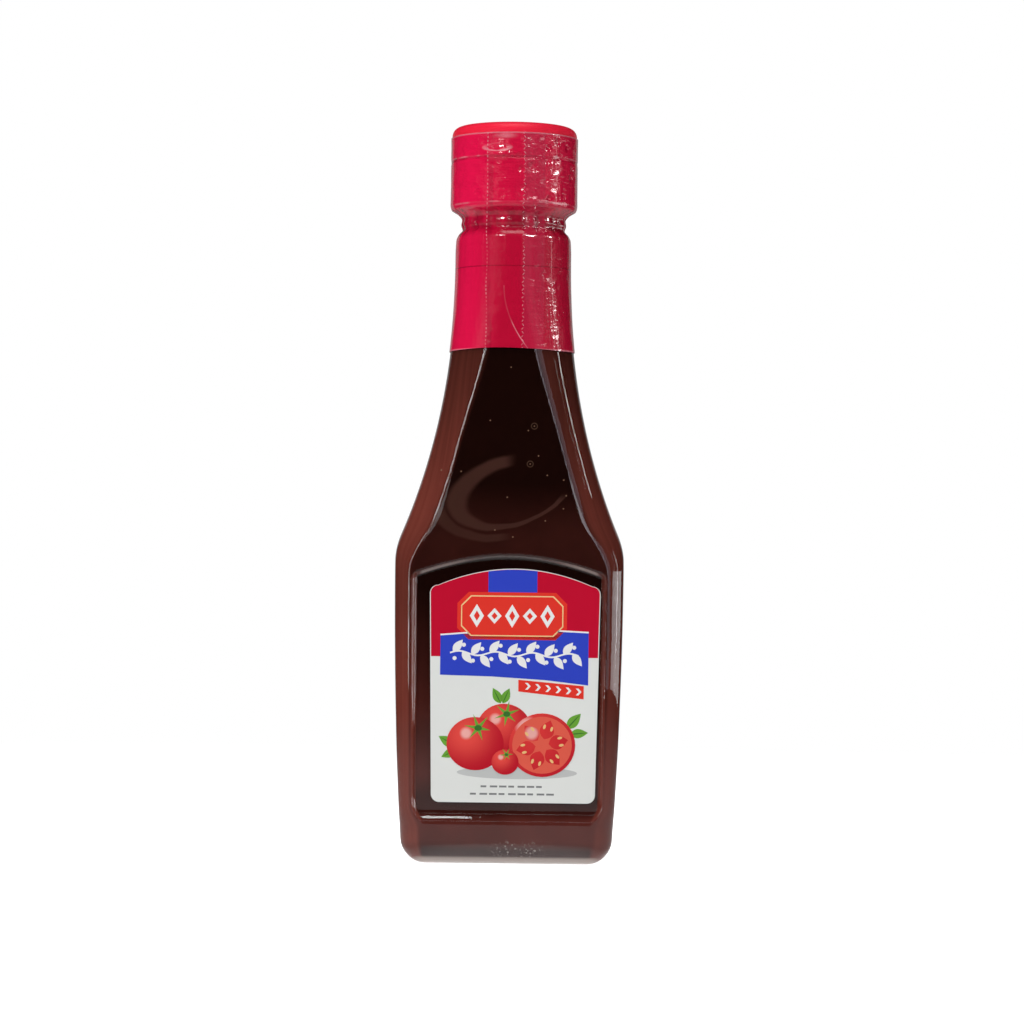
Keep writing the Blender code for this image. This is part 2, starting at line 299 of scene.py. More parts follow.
    def point(self, index: int, height: float, inset: float) -> Vector:
        """Places a column of the skin on a ring.

        Args:
            index: Column, counted anticlockwise from the middle of the front.
            height: The ring's nominal height. The arch over the panels lifts it there.
            inset: How far the skin is drawn in from the outside.

        Returns:
            The point.
        """
        quarter = self.quarter
        steps = len(quarter) - 1
        turn_index, step = divmod(index % (4 * steps), steps)
        column = steps - step if turn_index % 2 else step
        stretch, share = quarter[column]
        lift = 0.0
        if stretch is Stretch.FLAT:
            fade = smooth_hump(self.arch_fade_low, self.arch_fade_high, height)
            lift = self.arch_rise * (1.0 - share * share) * fade
        true_height = height + lift
        half_width, half_depth, flat = self.section_at(true_height)
        radius = max(half_width - flat - inset, min(self.least_corner, half_depth - inset))
        flat = half_width - inset - radius
        side = max(half_depth - inset - radius, 0.0)
        turn = radius * math.pi / 2.0
        own = (share * flat, flat + share * turn, flat + turn + share * side)[stretch.value]
        even = column / steps * (flat + turn + side)
        length = own + (even - own) * smooth_step(self.even_from_z, self.even_by_z, true_height)
        if length <= flat:
            x, y = length, -(half_depth - inset)
        elif length >= flat + turn:
            x, y = half_width - inset, -(side - (length - flat - turn))
        else:
            angle = (length - flat) / radius
            x, y = flat + radius * math.sin(angle), -side - radius * math.cos(angle)
        y += self.recess(stretch, share, height)
        return Vector((x if turn_index < 2 else -x, y if turn_index in (0, 3) else -y, true_height))

    def ring(self, height: float, inset: float) -> Ring:
        """A whole ring of the skin at a nominal height."""
        return [self.point(index, height, inset) for index in range(self.columns)]

    def round_ring(self, radius: float, height: float) -> Ring:
        """A round ring on the same columns."""
        return [self.round_point(index, radius, height) for index in range(self.columns)]

    def round_point(self, index: int, radius: float, height: float) -> Vector:
        """A point of a round ring."""
        angle = 2.0 * math.pi * index / self.columns
        return Vector((radius * math.sin(angle), -radius * math.cos(angle), height))

    def body_heights(self) -> list[float]:
        """Lists heights of rings, close together at the panel's ends and the shoulder.

        Returns:
            Heights from the heel's top to the neck, lowest first.
        """
        stops = (
            (self.heel_radius, 1.4 * MM), (10.0 * MM, 0.45 * MM), (15.4 * MM, 3.2 * MM),
            (74.5 * MM, 0.4 * MM), (79.0 * MM, 0.7 * MM), (90.0 * MM, 1.6 * MM),
            (135.0 * MM, 2.4 * MM), (self.neck_z, 0.0),
        )
        heights: list[float] = []
        for (low, step), (high, _) in zip(stops, stops[1:]):
            heights += evenly(low, high, step)
        return heights

    def foot_rings(self, inset: float, floor: float, heel_steps: int = 9) -> list[Ring]:
        """Rings from the middle of the foot out and up the heel.

        Args:
            inset: How far the wall is drawn in.
            floor: Height of the land over the outside's.
            heel_steps: Steps of the heel's quarter turn.

        Returns:
            The rings, the innermost first.
        """
        rings = [self.ring(self.push_up + floor, self.push_up_inset), self.ring(floor, self.land_inset)]
        for step in range(heel_steps):
            angle = math.pi / 2.0 * step / heel_steps
            height = self.heel_radius - (self.heel_radius - floor) * math.cos(angle)
            rings.append(self.ring(height, self.heel_radius - (self.heel_radius - inset) * math.sin(angle)))
        return rings


FORM = BottleForm()


# Making meshes


def finished(name: str, mesh: bmesh.types.BMesh, sharp: float = 40.0) -> bpy.types.Object:
    """Turns a bmesh into a smooth-shaded object with its faces outwards.

    Args:
        name: Name of the piece.
        mesh: The bmesh, which is freed.
        sharp: Angle in degrees past which an edge stays sharp.

    Returns:
        The object, in the scene.
    """
    bmesh.ops.recalc_face_normals(mesh, faces=list(mesh.faces))
    if mesh.calc_volume(signed=True) < 0.0:
        bmesh.ops.reverse_faces(mesh, faces=list(mesh.faces))
    data = bpy.data.meshes.new(name)
    mesh.to_mesh(data)
    mesh.free()
    data.shade_smooth()
    data.set_sharp_from_angle(angle=math.radians(sharp))
    made = bpy.data.objects.new(name, data)
    bpy.context.scene.collection.objects.link(made)
    return made


def skinned(
    name: str, rings: Sequence[Ring], closed_round: bool = False, sharp: float = 40.0
) -> bpy.types.Object:
    """Extrudes a tube one step a ring and puts its corners on the rings.

    Args:
        name: Name of the piece.
        rings: Rings of points, all with the same number of columns.
        closed_round: True joins the last ring to the first. False fills both ends.
        sharp: Angle in degrees past which an edge stays sharp.

    Returns:
        The object.
    """
    columns = len(rings[0])
    mesh = bmesh.new()
    bmesh.ops.create_circle(mesh, cap_ends=not closed_round, segments=columns, radius=1.0)
    edges = list(mesh.edges)
    first_edges = list(edges)
    for _ in rings[1:]:
        made = bmesh.ops.extrude_edge_only(mesh, edges=edges)["geom"]
        corners = {corner for corner in made if isinstance(corner, bmesh.types.BMVert)}
        bmesh.ops.translate(mesh, verts=list(corners), vec=(0.0, 0.0, 1.0))
        edges = [
            edge for edge in made if isinstance(edge, bmesh.types.BMEdge) and corners.issuperset(edge.verts)
        ]
    if closed_round:
        bmesh.ops.bridge_loops(mesh, edges=first_edges + edges)
    else:
        bmesh.ops.contextual_create(mesh, geom=edges)
    layer = mesh.verts.layers.float.new("round")
    for corner in mesh.verts:
        turn = math.atan2(corner.co.x, -corner.co.y) / (2.0 * math.pi)
        corner[layer] = abs(turn)
        corner.co = rings[round(corner.co.z)][round(turn * columns) % columns]
    return finished(name, mesh, sharp)


# Finishes


class Graph:
    """Short ways to add nodes and links to a node tree."""

    def __init__(self, tree: bpy.types.NodeTree) -> None:
        """Keeps the tree."""
        self.tree = tree

    def node(self, kind: str, **settings: object) -> bpy.types.Node:
        """Adds a node and sets its properties.

        Args:
            kind: Its type.
            **settings: Its properties.

        Returns:
            The node.
        """
        made = self.tree.nodes.new(kind)
        for name, value in settings.items():
            setattr(made, name, value)
        return made

    def link(self, output: Socket, into: Socket) -> None:
        """Links an output to an input."""
        self.tree.links.new(output, into)

    def feed(self, node: bpy.types.Node, index: int | str, value: object) -> None:
        """Links a value into an input if it is a socket, and sets it there if it isn't.

        Args:
            node: The node.
            index: Place or name of the input.
            value: The socket, number or colour.
        """
        if isinstance(value, Socket):
            self.link(value, node.inputs[index])
        else:
            node.inputs[index].default_value = value

    def math(self, operation: str, *values: Value) -> Socket:
        """Adds a Math node.

        Args:
            operation: What it does.
            *values: Up to three values, as sockets or numbers.

        Returns:
            Its output.
        """
        node = self.node("ShaderNodeMath", operation=operation)
        for index, value in enumerate(values):
            self.feed(node, index, value)
        return node.outputs[0]

    def times(self, first: Value, *others: Value) -> Socket:
        """Multiplies values.

        Args:
            first: The first value.
            *others: The other values.

        Returns:
            The product.
        """
        for other in others:
            first = self.math("MULTIPLY", first, other)
        return first

    def off(self, value: Value, middle: Value) -> Socket:
        """How far a value is from a middle."""
        return self.math("ABSOLUTE", self.math("SUBTRACT", value, middle))

    def attribute(self, name: str) -> Socket:
        """A mesh attribute of the piece, as a number."""
        return self.node("ShaderNodeAttribute", attribute_name=name).outputs["Fac"]

    def place(self) -> Socket:
        """Object coordinates."""
        return self.node("ShaderNodeTexCoord").outputs["Object"]

    def split(self, vector: Socket) -> tuple[Socket, ...]:
        """Splits a vector.

        Args:
            vector: The vector.

        Returns:
            Its three parts.
        """
        node = self.node("ShaderNodeSeparateXYZ")
        self.link(vector, node.inputs[0])
        return tuple(node.outputs)

    def noise(self, vector: Socket, scale: float, detail: float = 2.0, roughness: float = 0.5) -> Socket:
        """Adds a noise texture.

        Args:
            vector: Place to read it at.
            scale: Its scale.
            detail: Its detail.
            roughness: Its roughness.

        Returns:
            The noise's value.
        """
        node = self.node("ShaderNodeTexNoise")
        self.link(vector, node.inputs["Vector"])
        node.inputs["Scale"].default_value = scale
        node.inputs["Detail"].default_value = detail
        node.inputs["Roughness"].default_value = roughness
        return node.outputs[0]

    def apart(self, x: Socket, z: Socket, centre: Station, half: Station = (1.0, 1.0)) -> tuple[Socket, ...]:
        """Works out how far a place is from a centre.

        Args:
            x: The place's X.
            z: The place's Z.
            centre: The centre.
            half: What counts as 1 in X and in Z.

        Returns:
            The distance, and its parts in X and Z.
        """
        across = self.math("DIVIDE", self.math("SUBTRACT", x, centre[0]), half[0])
        up = self.math("DIVIDE", self.math("SUBTRACT", z, centre[1]), half[1])
        squares = self.math("ADD", self.times(across, across), self.times(up, up))
        return self.math("SQRT", squares), across, up

    def lengthwise(self, place: Socket, fine: float) -> Socket:
        """Noise drawn out into streaks along the columns of a lofted piece.

        Args:
            place: Object coordinates.
            fine: How many streaks go round the piece.

        Returns:
            The noise's value.
        """
        x, _, z = self.split(place)
        joined = self.node("ShaderNodeCombineXYZ")
        for index, (part, factor) in enumerate(((self.attribute("round"), fine), (z, 14.0), (x, 40.0))):
            self.link(self.times(part, factor), joined.inputs[index])
        return self.noise(joined.outputs[0], 1.0, 3.0, 0.6)

    def stretched(self, vector: Socket, scale: Sequence[float]) -> Socket:
        """Scales a vector along each axis.

        Args:
            vector: The vector.
            scale: Scale along X, Y and Z.

        Returns:
            The scaled vector.
        """
        node = self.node("ShaderNodeMapping")
        self.link(vector, node.inputs["Vector"])
        node.inputs["Scale"].default_value = scale
        return node.outputs[0]

    def span(
        self,
        value: Value,
        low: float,
        high: float,
        out_low: float = 0.0,
        out_high: float = 1.0,
        soft: bool = True,
    ) -> Socket:
        """Maps a value from one range to another, clamped.

        Args:
            value: The value.
            low: Value that gives out_low.
            high: Value that gives out_high.
            out_low: What it gives at low.
            out_high: What it gives at high.
            soft: True eases it at both ends.

        Returns:
            The mapped value.
        """
        node = self.node("ShaderNodeMapRange", interpolation_type="SMOOTHSTEP" if soft else "LINEAR")
        for index, item in enumerate((value, low, high, out_low, out_high)):
            self.feed(node, index, item)
        return node.outputs[0]

    def mix(self, share: Value, first: Socket | Colour, second: Socket | Colour) -> Socket:
        """Mixes two colours.

        Args:
            share: Share of the second colour.
            first: The first colour, as a socket or (r, g, b).
            second: The second colour, likewise.

        Returns:
            The mixed colour.
        """
        node = self.node("ShaderNodeMix", data_type="RGBA")
        self.feed(node, 0, share)
        for index, colour in ((6, first), (7, second)):
            self.feed(node, index, colour if isinstance(colour, Socket) else (*colour, 1.0))
        return node.outputs[2]

    def bump(self, height: Socket, distance: float) -> Socket:
        """Bumps the surface.

        Args:
            height: Height of the relief, where 1 stands for the distance.
            distance: The distance.

        Returns:
            The normal.
        """
        node = self.node("ShaderNodeBump")
        node.inputs["Distance"].default_value = distance
        self.link(height, node.inputs["Height"])
        return node.outputs[0]

    def shade_apart(self, ray: str, shader: Socket, other: Socket) -> None:
        """Gives the surface a shader, and another one for a single kind of ray.

        Args:
            ray: Output of the Light Path node that picks the ray.
            shader: Shader for all other rays.
            other: Shader for that ray.
        """
        mixed = self.node("ShaderNodeMixShader")
        self.link(self.node("ShaderNodeLightPath").outputs[ray], mixed.inputs[0])
        self.link(shader, mixed.inputs[1])
        self.link(other, mixed.inputs[2])
        output = next(node for node in self.tree.nodes if node.type == "OUTPUT_MATERIAL")
        self.link(mixed.outputs[0], output.inputs["Surface"])

    def seen_directly(self) -> Socket:
        """1 for rays of the camera and rays through clear pieces, 0 for others."""
        paths = self.node("ShaderNodeLightPath")
        return self.math("MAXIMUM", paths.outputs["Is Camera Ray"], paths.outputs["Is Transmission Ray"])


def new_material(name: str) -> tuple[bpy.types.Material, Graph, bpy.types.Node]:
    """Makes a material.

    Args:
        name: Its name.

    Returns:
        The material, its node graph and its Principled shader.
    """
    material = bpy.data.materials.new(name)
    material.use_nodes = True
    return material, Graph(material.node_tree), material.node_tree.nodes["Principled BSDF"]


def scuff_group() -> bpy.types.NodeTree:
    """Builds the node group that several finishes share: fine handling marks and a cloudy change of colour.

    Returns:
        The group. It takes Vector, Roughness and Spread, and puts out Cloud, Roughness and Height.
    """
    name = "handling_marks"
    if name in bpy.data.node_groups:
        return bpy.data.node_groups[name]
    group = bpy.data.node_groups.new(name, "ShaderNodeTree")
    group.interface.new_socket("Vector", in_out="INPUT", socket_type="NodeSocketVector")
    for label, value in (("Roughness", 0.3), ("Spread", 0.05)):
        group.interface.new_socket(label, in_out="INPUT", socket_type="NodeSocketFloat").default_value = value
    for label in ("Cloud", "Roughness", "Height"):
        group.interface.new_socket(label, in_out="OUTPUT", socket_type="NodeSocketFloat")
    graph = Graph(group)
    source = graph.node("NodeGroupInput")
    result = graph.node("NodeGroupOutput")
    cloud = graph.noise(source.outputs["Vector"], 55.0, 3.0, 0.55)
    fine = graph.noise(source.outputs["Vector"], 900.0, 2.0, 0.6)
    spread = graph.times(graph.math("SUBTRACT", cloud, 0.5), source.outputs["Spread"])
    graph.link(cloud, result.inputs["Cloud"])
    graph.link(graph.math("ADD", source.outputs["Roughness"], spread), result.inputs["Roughness"])
    graph.link(graph.math("MULTIPLY_ADD", fine, 0.3, cloud), result.inputs["Height"])
    return group


def add_marks(
    graph: Graph, shader: bpy.types.Node, roughness: float, spread: float, depth: float
) -> bpy.types.Node:
    """Gives a shader the shared handling marks.

    Args:
        graph: The material's graph.
        shader: Its Principled shader.
        roughness: Middle roughness.
        spread: How far the roughness strays.
        depth: Height of the marks, in metres. 0 leaves the normal alone.

    Returns:
        The group node, whose Cloud output is free to use.
    """
    marks = graph.node("ShaderNodeGroup", node_tree=scuff_group())
    graph.link(graph.place(), marks.inputs["Vector"])
    marks.inputs["Roughness"].default_value = roughness
    marks.inputs["Spread"].default_value = spread
    graph.link(marks.outputs["Roughness"], shader.inputs["Roughness"])
    if depth:
        graph.link(graph.bump(marks.outputs["Height"], depth), shader.inputs["Normal"])
    return marks


@dataclass(frozen=True)
class ClearPlastic:
    """Blown clear PET. It refracts, lets lamps through to the sauce, and has a faint ripple."""

    tint: Colour = (0.975, 0.98, 0.98)
    ior: float = 1.57
    roughness: float = 0.015
    ripple: float = 0.06 * MM
    shadow: Colour = (0.93, 0.93, 0.93)

    def build(self) -> bpy.types.Material:
        """Makes the material.

        Returns:
            The material.
        """
        material, graph, shader = new_material("clear_pet")
        shader.inputs["Base Color"].default_value = (*self.tint, 1.0)
        shader.inputs["Transmission Weight"].default_value = 1.0
        shader.inputs["IOR"].default_value = self.ior
        shader.inputs["Roughness"].default_value = self.roughness
        ripples = graph.noise(graph.stretched(graph.place(), (1.0, 1.0, 0.45)), 60.0, 2.0, 0.4)
        streaks = graph.lengthwise(graph.place(), 170.0)
        height = graph.math("MULTIPLY_ADD", streaks, 0.16, ripples)
        graph.link(graph.bump(height, self.ripple), shader.inputs["Normal"])
        clear = graph.node("ShaderNodeBsdfTransparent")
        clear.inputs["Color"].default_value = (*self.shadow, 1.0)
        graph.shade_apart("Is Shadow Ray", shader.outputs[0], clear.outputs[0])
        return material


@dataclass(frozen=True)
class CurledReflection:
    """A painted reflection, curled and paler: part of a leaning ellipse, broad on one side and open on
    another.
    """

    centre: Station
    half: Station
    lean: float
    broad_at: float
    width: float
    open_at: float
    open_half: float
    strength: float
    fade: float = 0.14

    def mask(self, graph: Graph, x: Socket, z: Socket, wobble: Socket) -> Socket:
        """Builds the mask of the painted reflection.

        Args:
            graph: The material's graph.
            x: Object X.
            z: Object Z.
            wobble: Noise that makes its edge uneven.

        Returns:
            Its strength in the middle of the mark, 0 away from it.
        """
        shift = graph.times(graph.math("SUBTRACT", z, self.centre[1]), self.lean)
        out, across, up = graph.apart(graph.math("SUBTRACT", x, shift), z, self.centre, self.half)
        off = graph.off(graph.math("ADD", out, wobble), 1.0)
        angle = graph.math("ARCTAN2", up, across)
        turned = graph.math("COSINE", graph.math("SUBTRACT", angle, self.broad_at))
        width = graph.span(turned, -1.0, 1.0, 0.25 * self.width, self.width, soft=False)
        band = graph.span(graph.math("DIVIDE", off, width), 1.0, 0.45)
        opening = graph.math("COSINE", graph.math("SUBTRACT", angle, self.open_at))
        start, end = math.cos(self.open_half - self.fade), math.cos(self.open_half + self.fade)
        return graph.times(band, graph.span(opening, start, end, 0.0, self.strength))


@dataclass(frozen=True)
class Sauce:
    """Thick dark ketchup with bubbles and scuffs, and painted light on the shoulder, the flanks, the foot and
    the panel.
    """

    dark: Colour = (0.0074, 0.0021, 0.0013)
    # Painted light: the lighter brown of the flanks
    painted_flank_light: Colour = (0.205, 0.0470, 0.0330)
    # Painted light: the browner sauce low in the bottle and just over the panel
    painted_low_light: Colour = (0.116, 0.0260, 0.0200)
    # Painted reflection: curled paler marks on the shoulder
    painted_reflection: Colour = (0.068, 0.0270, 0.0200)
    # Pale colour of the painted highlights at the arch's ends and in the lowest ring, and of real scuffs
    rim: Colour = (0.46, 0.37, 0.33)
    bubble: Colour = (0.30, 0.17, 0.11)
    roughness: float = 0.42
    curled_reflections: tuple[CurledReflection, ...] = (
        CurledReflection((0.4 * MM, 99.0 * MM), (14.0 * MM, 9.2 * MM), 0.50, 2.75, 0.27, 0.91, 1.01, 1.0),
        CurledReflection((-2.0 * MM, 96.5 * MM), (17.0 * MM, 9.6 * MM), 0.30, 4.0, 0.15, 1.00, 2.35, 0.7),
    )
    bubbles: tuple[Station, ...] = in_mm((6.2, 117.0), (5.2, 106.8))
    bubble_radius: float = 0.8 * MM
    speck_edge: Station = (0.26 * MM, 0.10 * MM)
    specks: tuple[Station, ...] = in_mm(
        (4.6, 115.8), (7.4, 109.0), (9.8, 103.8), (14.2, 102.6), (14.9, 98.4), (14.2, 94.9),
        (9.4, 91.6), (-0.8, 97.8), (-5.6, 118.4), (-13.2, 104.6), (-18.4, 104.9), (-4.0, 89.0),
        (0.8, 87.2), (-0.2, 132.8),
    )

    def bubble_mask(self, graph: Graph, x: Socket, z: Socket) -> Socket:
        """Builds the mask of the ringed bubbles, with a painted highlight in each middle, and bright specks.

        Args:
            graph: The material's graph.
            x: Object X.
            z: Object Z.

        Returns:
            How bright a bubble or speck is, 0 off them.
        """
        total: Value = 0.0
        for centre in self.bubbles:
            apart = graph.apart(x, z, centre)[0]
            ring = graph.span(graph.off(apart, self.bubble_radius), 0.28 * self.bubble_radius, 0.0, 0.0, 0.28)
            # Painted highlight in the middle of each bubble
            middle = graph.span(apart, *self.speck_edge, 0.0, 0.7)
            total = graph.math("ADD", total, graph.math("MAXIMUM", ring, middle))
        for centre in self.specks:
            total = graph.math("ADD", total, graph.span(graph.apart(x, z, centre)[0], *self.speck_edge))
        return total

    def painted_flank_light_mask(self, graph: Graph, place: Socket, x: Socket, z: Socket) -> Socket:
        """Builds the mask of the painted light on the flanks, less on the right and streaked along the
        bottle.

        Args:
            graph: The material's graph.
            place: Object coordinates.
            x: Object X.
            z: Object Z.

        Returns:
            How strong the painted light is.
        """
        streaky = graph.span(graph.lengthwise(place, 110.0), 0.3, 0.7, 0.80, 1.05)
        turned = graph.span(graph.attribute("turned"), 0.05, 0.22)
        upwards = graph.span(z, 140.0 * MM, 84.0 * MM, 0.42, 1.0)
        rightwards = graph.span(x, 6.0 * MM, 14.0 * MM, 1.0, 0.62)
        under_shoulder = graph.span(graph.off(z, 74.0 * MM), 3.0 * MM, 22.0 * MM, 0.72, 1.0)
        return graph.times(turned, upwards, rightwards, under_shoulder, streaky)

    def painted_low_light_mask(self, graph: Graph, place: Socket, z: Socket, panel: Socket) -> Socket:
        """Builds the mask of painted light that browns the sauce low in the bottle and just over the panel.

        Args:
            graph: The material's graph.
            place: Object coordinates.
            z: Object Z.
            panel: How far into the panel the place is, from 0 to 1.

        Returns:
            How strong the painted light is.
        """
        above = graph.times(
            graph.span(z, 106.0 * MM, 84.0 * MM, 0.0, 0.28), graph.math("SUBTRACT", 1.0, panel)
        )
        low = graph.math("MAXIMUM", above, graph.span(z, 78.0 * MM, 18.0 * MM, 0.03, 0.9))
        under_label = graph.times(panel, graph.span(z, 24.0 * MM, 17.0 * MM, 0.0, 0.6))
        cloudy = graph.span(graph.noise(place, 60.0, 3.0, 0.55), 0.25, 0.75, 0.75, 1.15)
        return graph.times(low, graph.math("SUBTRACT", 1.0, under_label), cloudy)

    def painted_arch_highlight_mask(self, graph: Graph, x: Socket, z: Socket, panel: Socket) -> Socket:
        """Builds the mask of the painted highlight in the panel's edge, at both ends of its arch.

        Args:
            graph: The material's graph.
            x: Object X.
            z: Object Z.
            panel: How far into the panel the place is, from 0 to 1.

        Returns:
            How strong the painted highlight is.
        """
        ledge = graph.times(graph.span(panel, 0.04, 0.30), graph.span(panel, 0.98, 0.70))
        outwards = graph.span(graph.off(x, 0.8 * MM), 9.0 * MM, 19.0 * MM, 0.12, 0.75)
        upwards = graph.span(z, 71.0 * MM, 74.5 * MM)
        inside = graph.span(graph.math("ABSOLUTE", x), 24.3 * MM, 22.8 * MM)
        return graph.times(ledge, outwards, upwards, inside)

    def scuff_mask(self, graph: Graph, place: Socket, x: Socket, z: Socket) -> Socket:
        """Builds the mask of the pale specks that scuffs leave near the middle of the foot.

        Args:
            graph: The material's graph.
            place: Object coordinates.
            x: Object X.
            z: Object Z.

        Returns:
            1 on a speck, 0 off it.
        """
        specks = graph.span(graph.noise(place, 1500.0, 1.0), 0.62, 0.70)
        near_foot = graph.span(z, 7.5 * MM, 4.0 * MM)
        near_middle = graph.span(graph.off(x, 3.5 * MM), 10.0 * MM, 3.0 * MM)
        return graph.times(specks, near_foot, near_middle)

    def build(self) -> bpy.types.Material:
        """Makes the material.

        Returns:
            The material.
        """
        material, graph, shader = new_material("ketchup_sauce")
        place = graph.place()
        x, y, z = graph.split(place)
        panel = graph.attribute("panel")
        front = graph.math("LESS_THAN", y, 0.0)
        wobble = graph.times(graph.math("SUBTRACT", graph.noise(place, 90.0), 0.5), 0.16)
        masks = [painted_reflection.mask(graph, x, z, wobble) for painted_reflection in self.curled_reflections]
        # Painted light low in the bottle and just over the panel
        colour = graph.mix(self.painted_low_light_mask(graph, place, z, panel), self.dark, self.painted_low_light)
        # Painted light on the flanks
        colour = graph.mix(self.painted_flank_light_mask(graph, place, x, z), colour, self.painted_flank_light)
        # Painted reflection on the front of the shoulder
        colour = graph.mix(graph.times(graph.math("MAXIMUM", *masks), front, 0.85), colour, self.painted_reflection)
        colour = graph.mix(graph.times(self.bubble_mask(graph, x, z), front, 0.8), colour, self.bubble)
        # Painted highlight at both ends of the panel's arch
        colour = graph.mix(self.painted_arch_highlight_mask(graph, x, z, panel), colour, self.rim)
        # Painted light: a pale lowest ring, where light gathers in the clear foot
        colour = graph.mix(graph.span(z, 2.95 * MM, 2.55 * MM, 0.0, 0.8), colour, self.rim)
        colour = graph.mix(graph.times(self.scuff_mask(graph, place, x, z), 0.8), colour, self.rim)
        graph.link(colour, shader.inputs["Base Color"])
        shader.inputs["Specular IOR Level"].default_value = 0.0
        add_marks(graph, shader, self.roughness, 0.1, 0.0)
        return material


@dataclass(frozen=True)
class MouldedPlastic:
    """Red moulded polypropylene with a faint satin grain."""

    name: str = "cap_polypropylene"
    colour: Colour = (0.86, 0.010, 0.045)
    roughness: float = 0.32

    def build(self) -> bpy.types.Material:
        """Makes the material.

        Returns:
            The material.
        """
        material, graph, shader = new_material(self.name)
        marks = add_marks(graph, shader, self.roughness, 0.08, 0.01 * MM)
        paler = tuple(min(part * 1.12 + 0.01, 1.0) for part in self.colour)
        graph.link(graph.mix(marks.outputs["Cloud"], self.colour, paler), shader.inputs["Base Color"])
        shader.inputs["Specular IOR Level"].default_value = 0.25
        shader.inputs["Subsurface Weight"].default_value = 0.12
        shader.inputs["Subsurface Radius"].default_value = (1.2 * MM, 0.3 * MM, 0.2 * MM)
        shader.inputs["Subsurface Scale"].default_value = 1.0
        return material


@dataclass(frozen=True)
class FilmPlace:
    """What the film's masks read at a place: where it is, and how uneven the film is there."""

    graph: Graph
    place: Socket
    x: Socket
    z: Socket
    front: Socket
    wavy: Socket
    patchy: Socket

    def level_line(self, height: float, half: float, solid: float) -> Socket:
        """The mask of a level line of a half width that is solid up to a smaller one."""
        return self.graph.span(self.graph.off(self.z, height), half, solid)


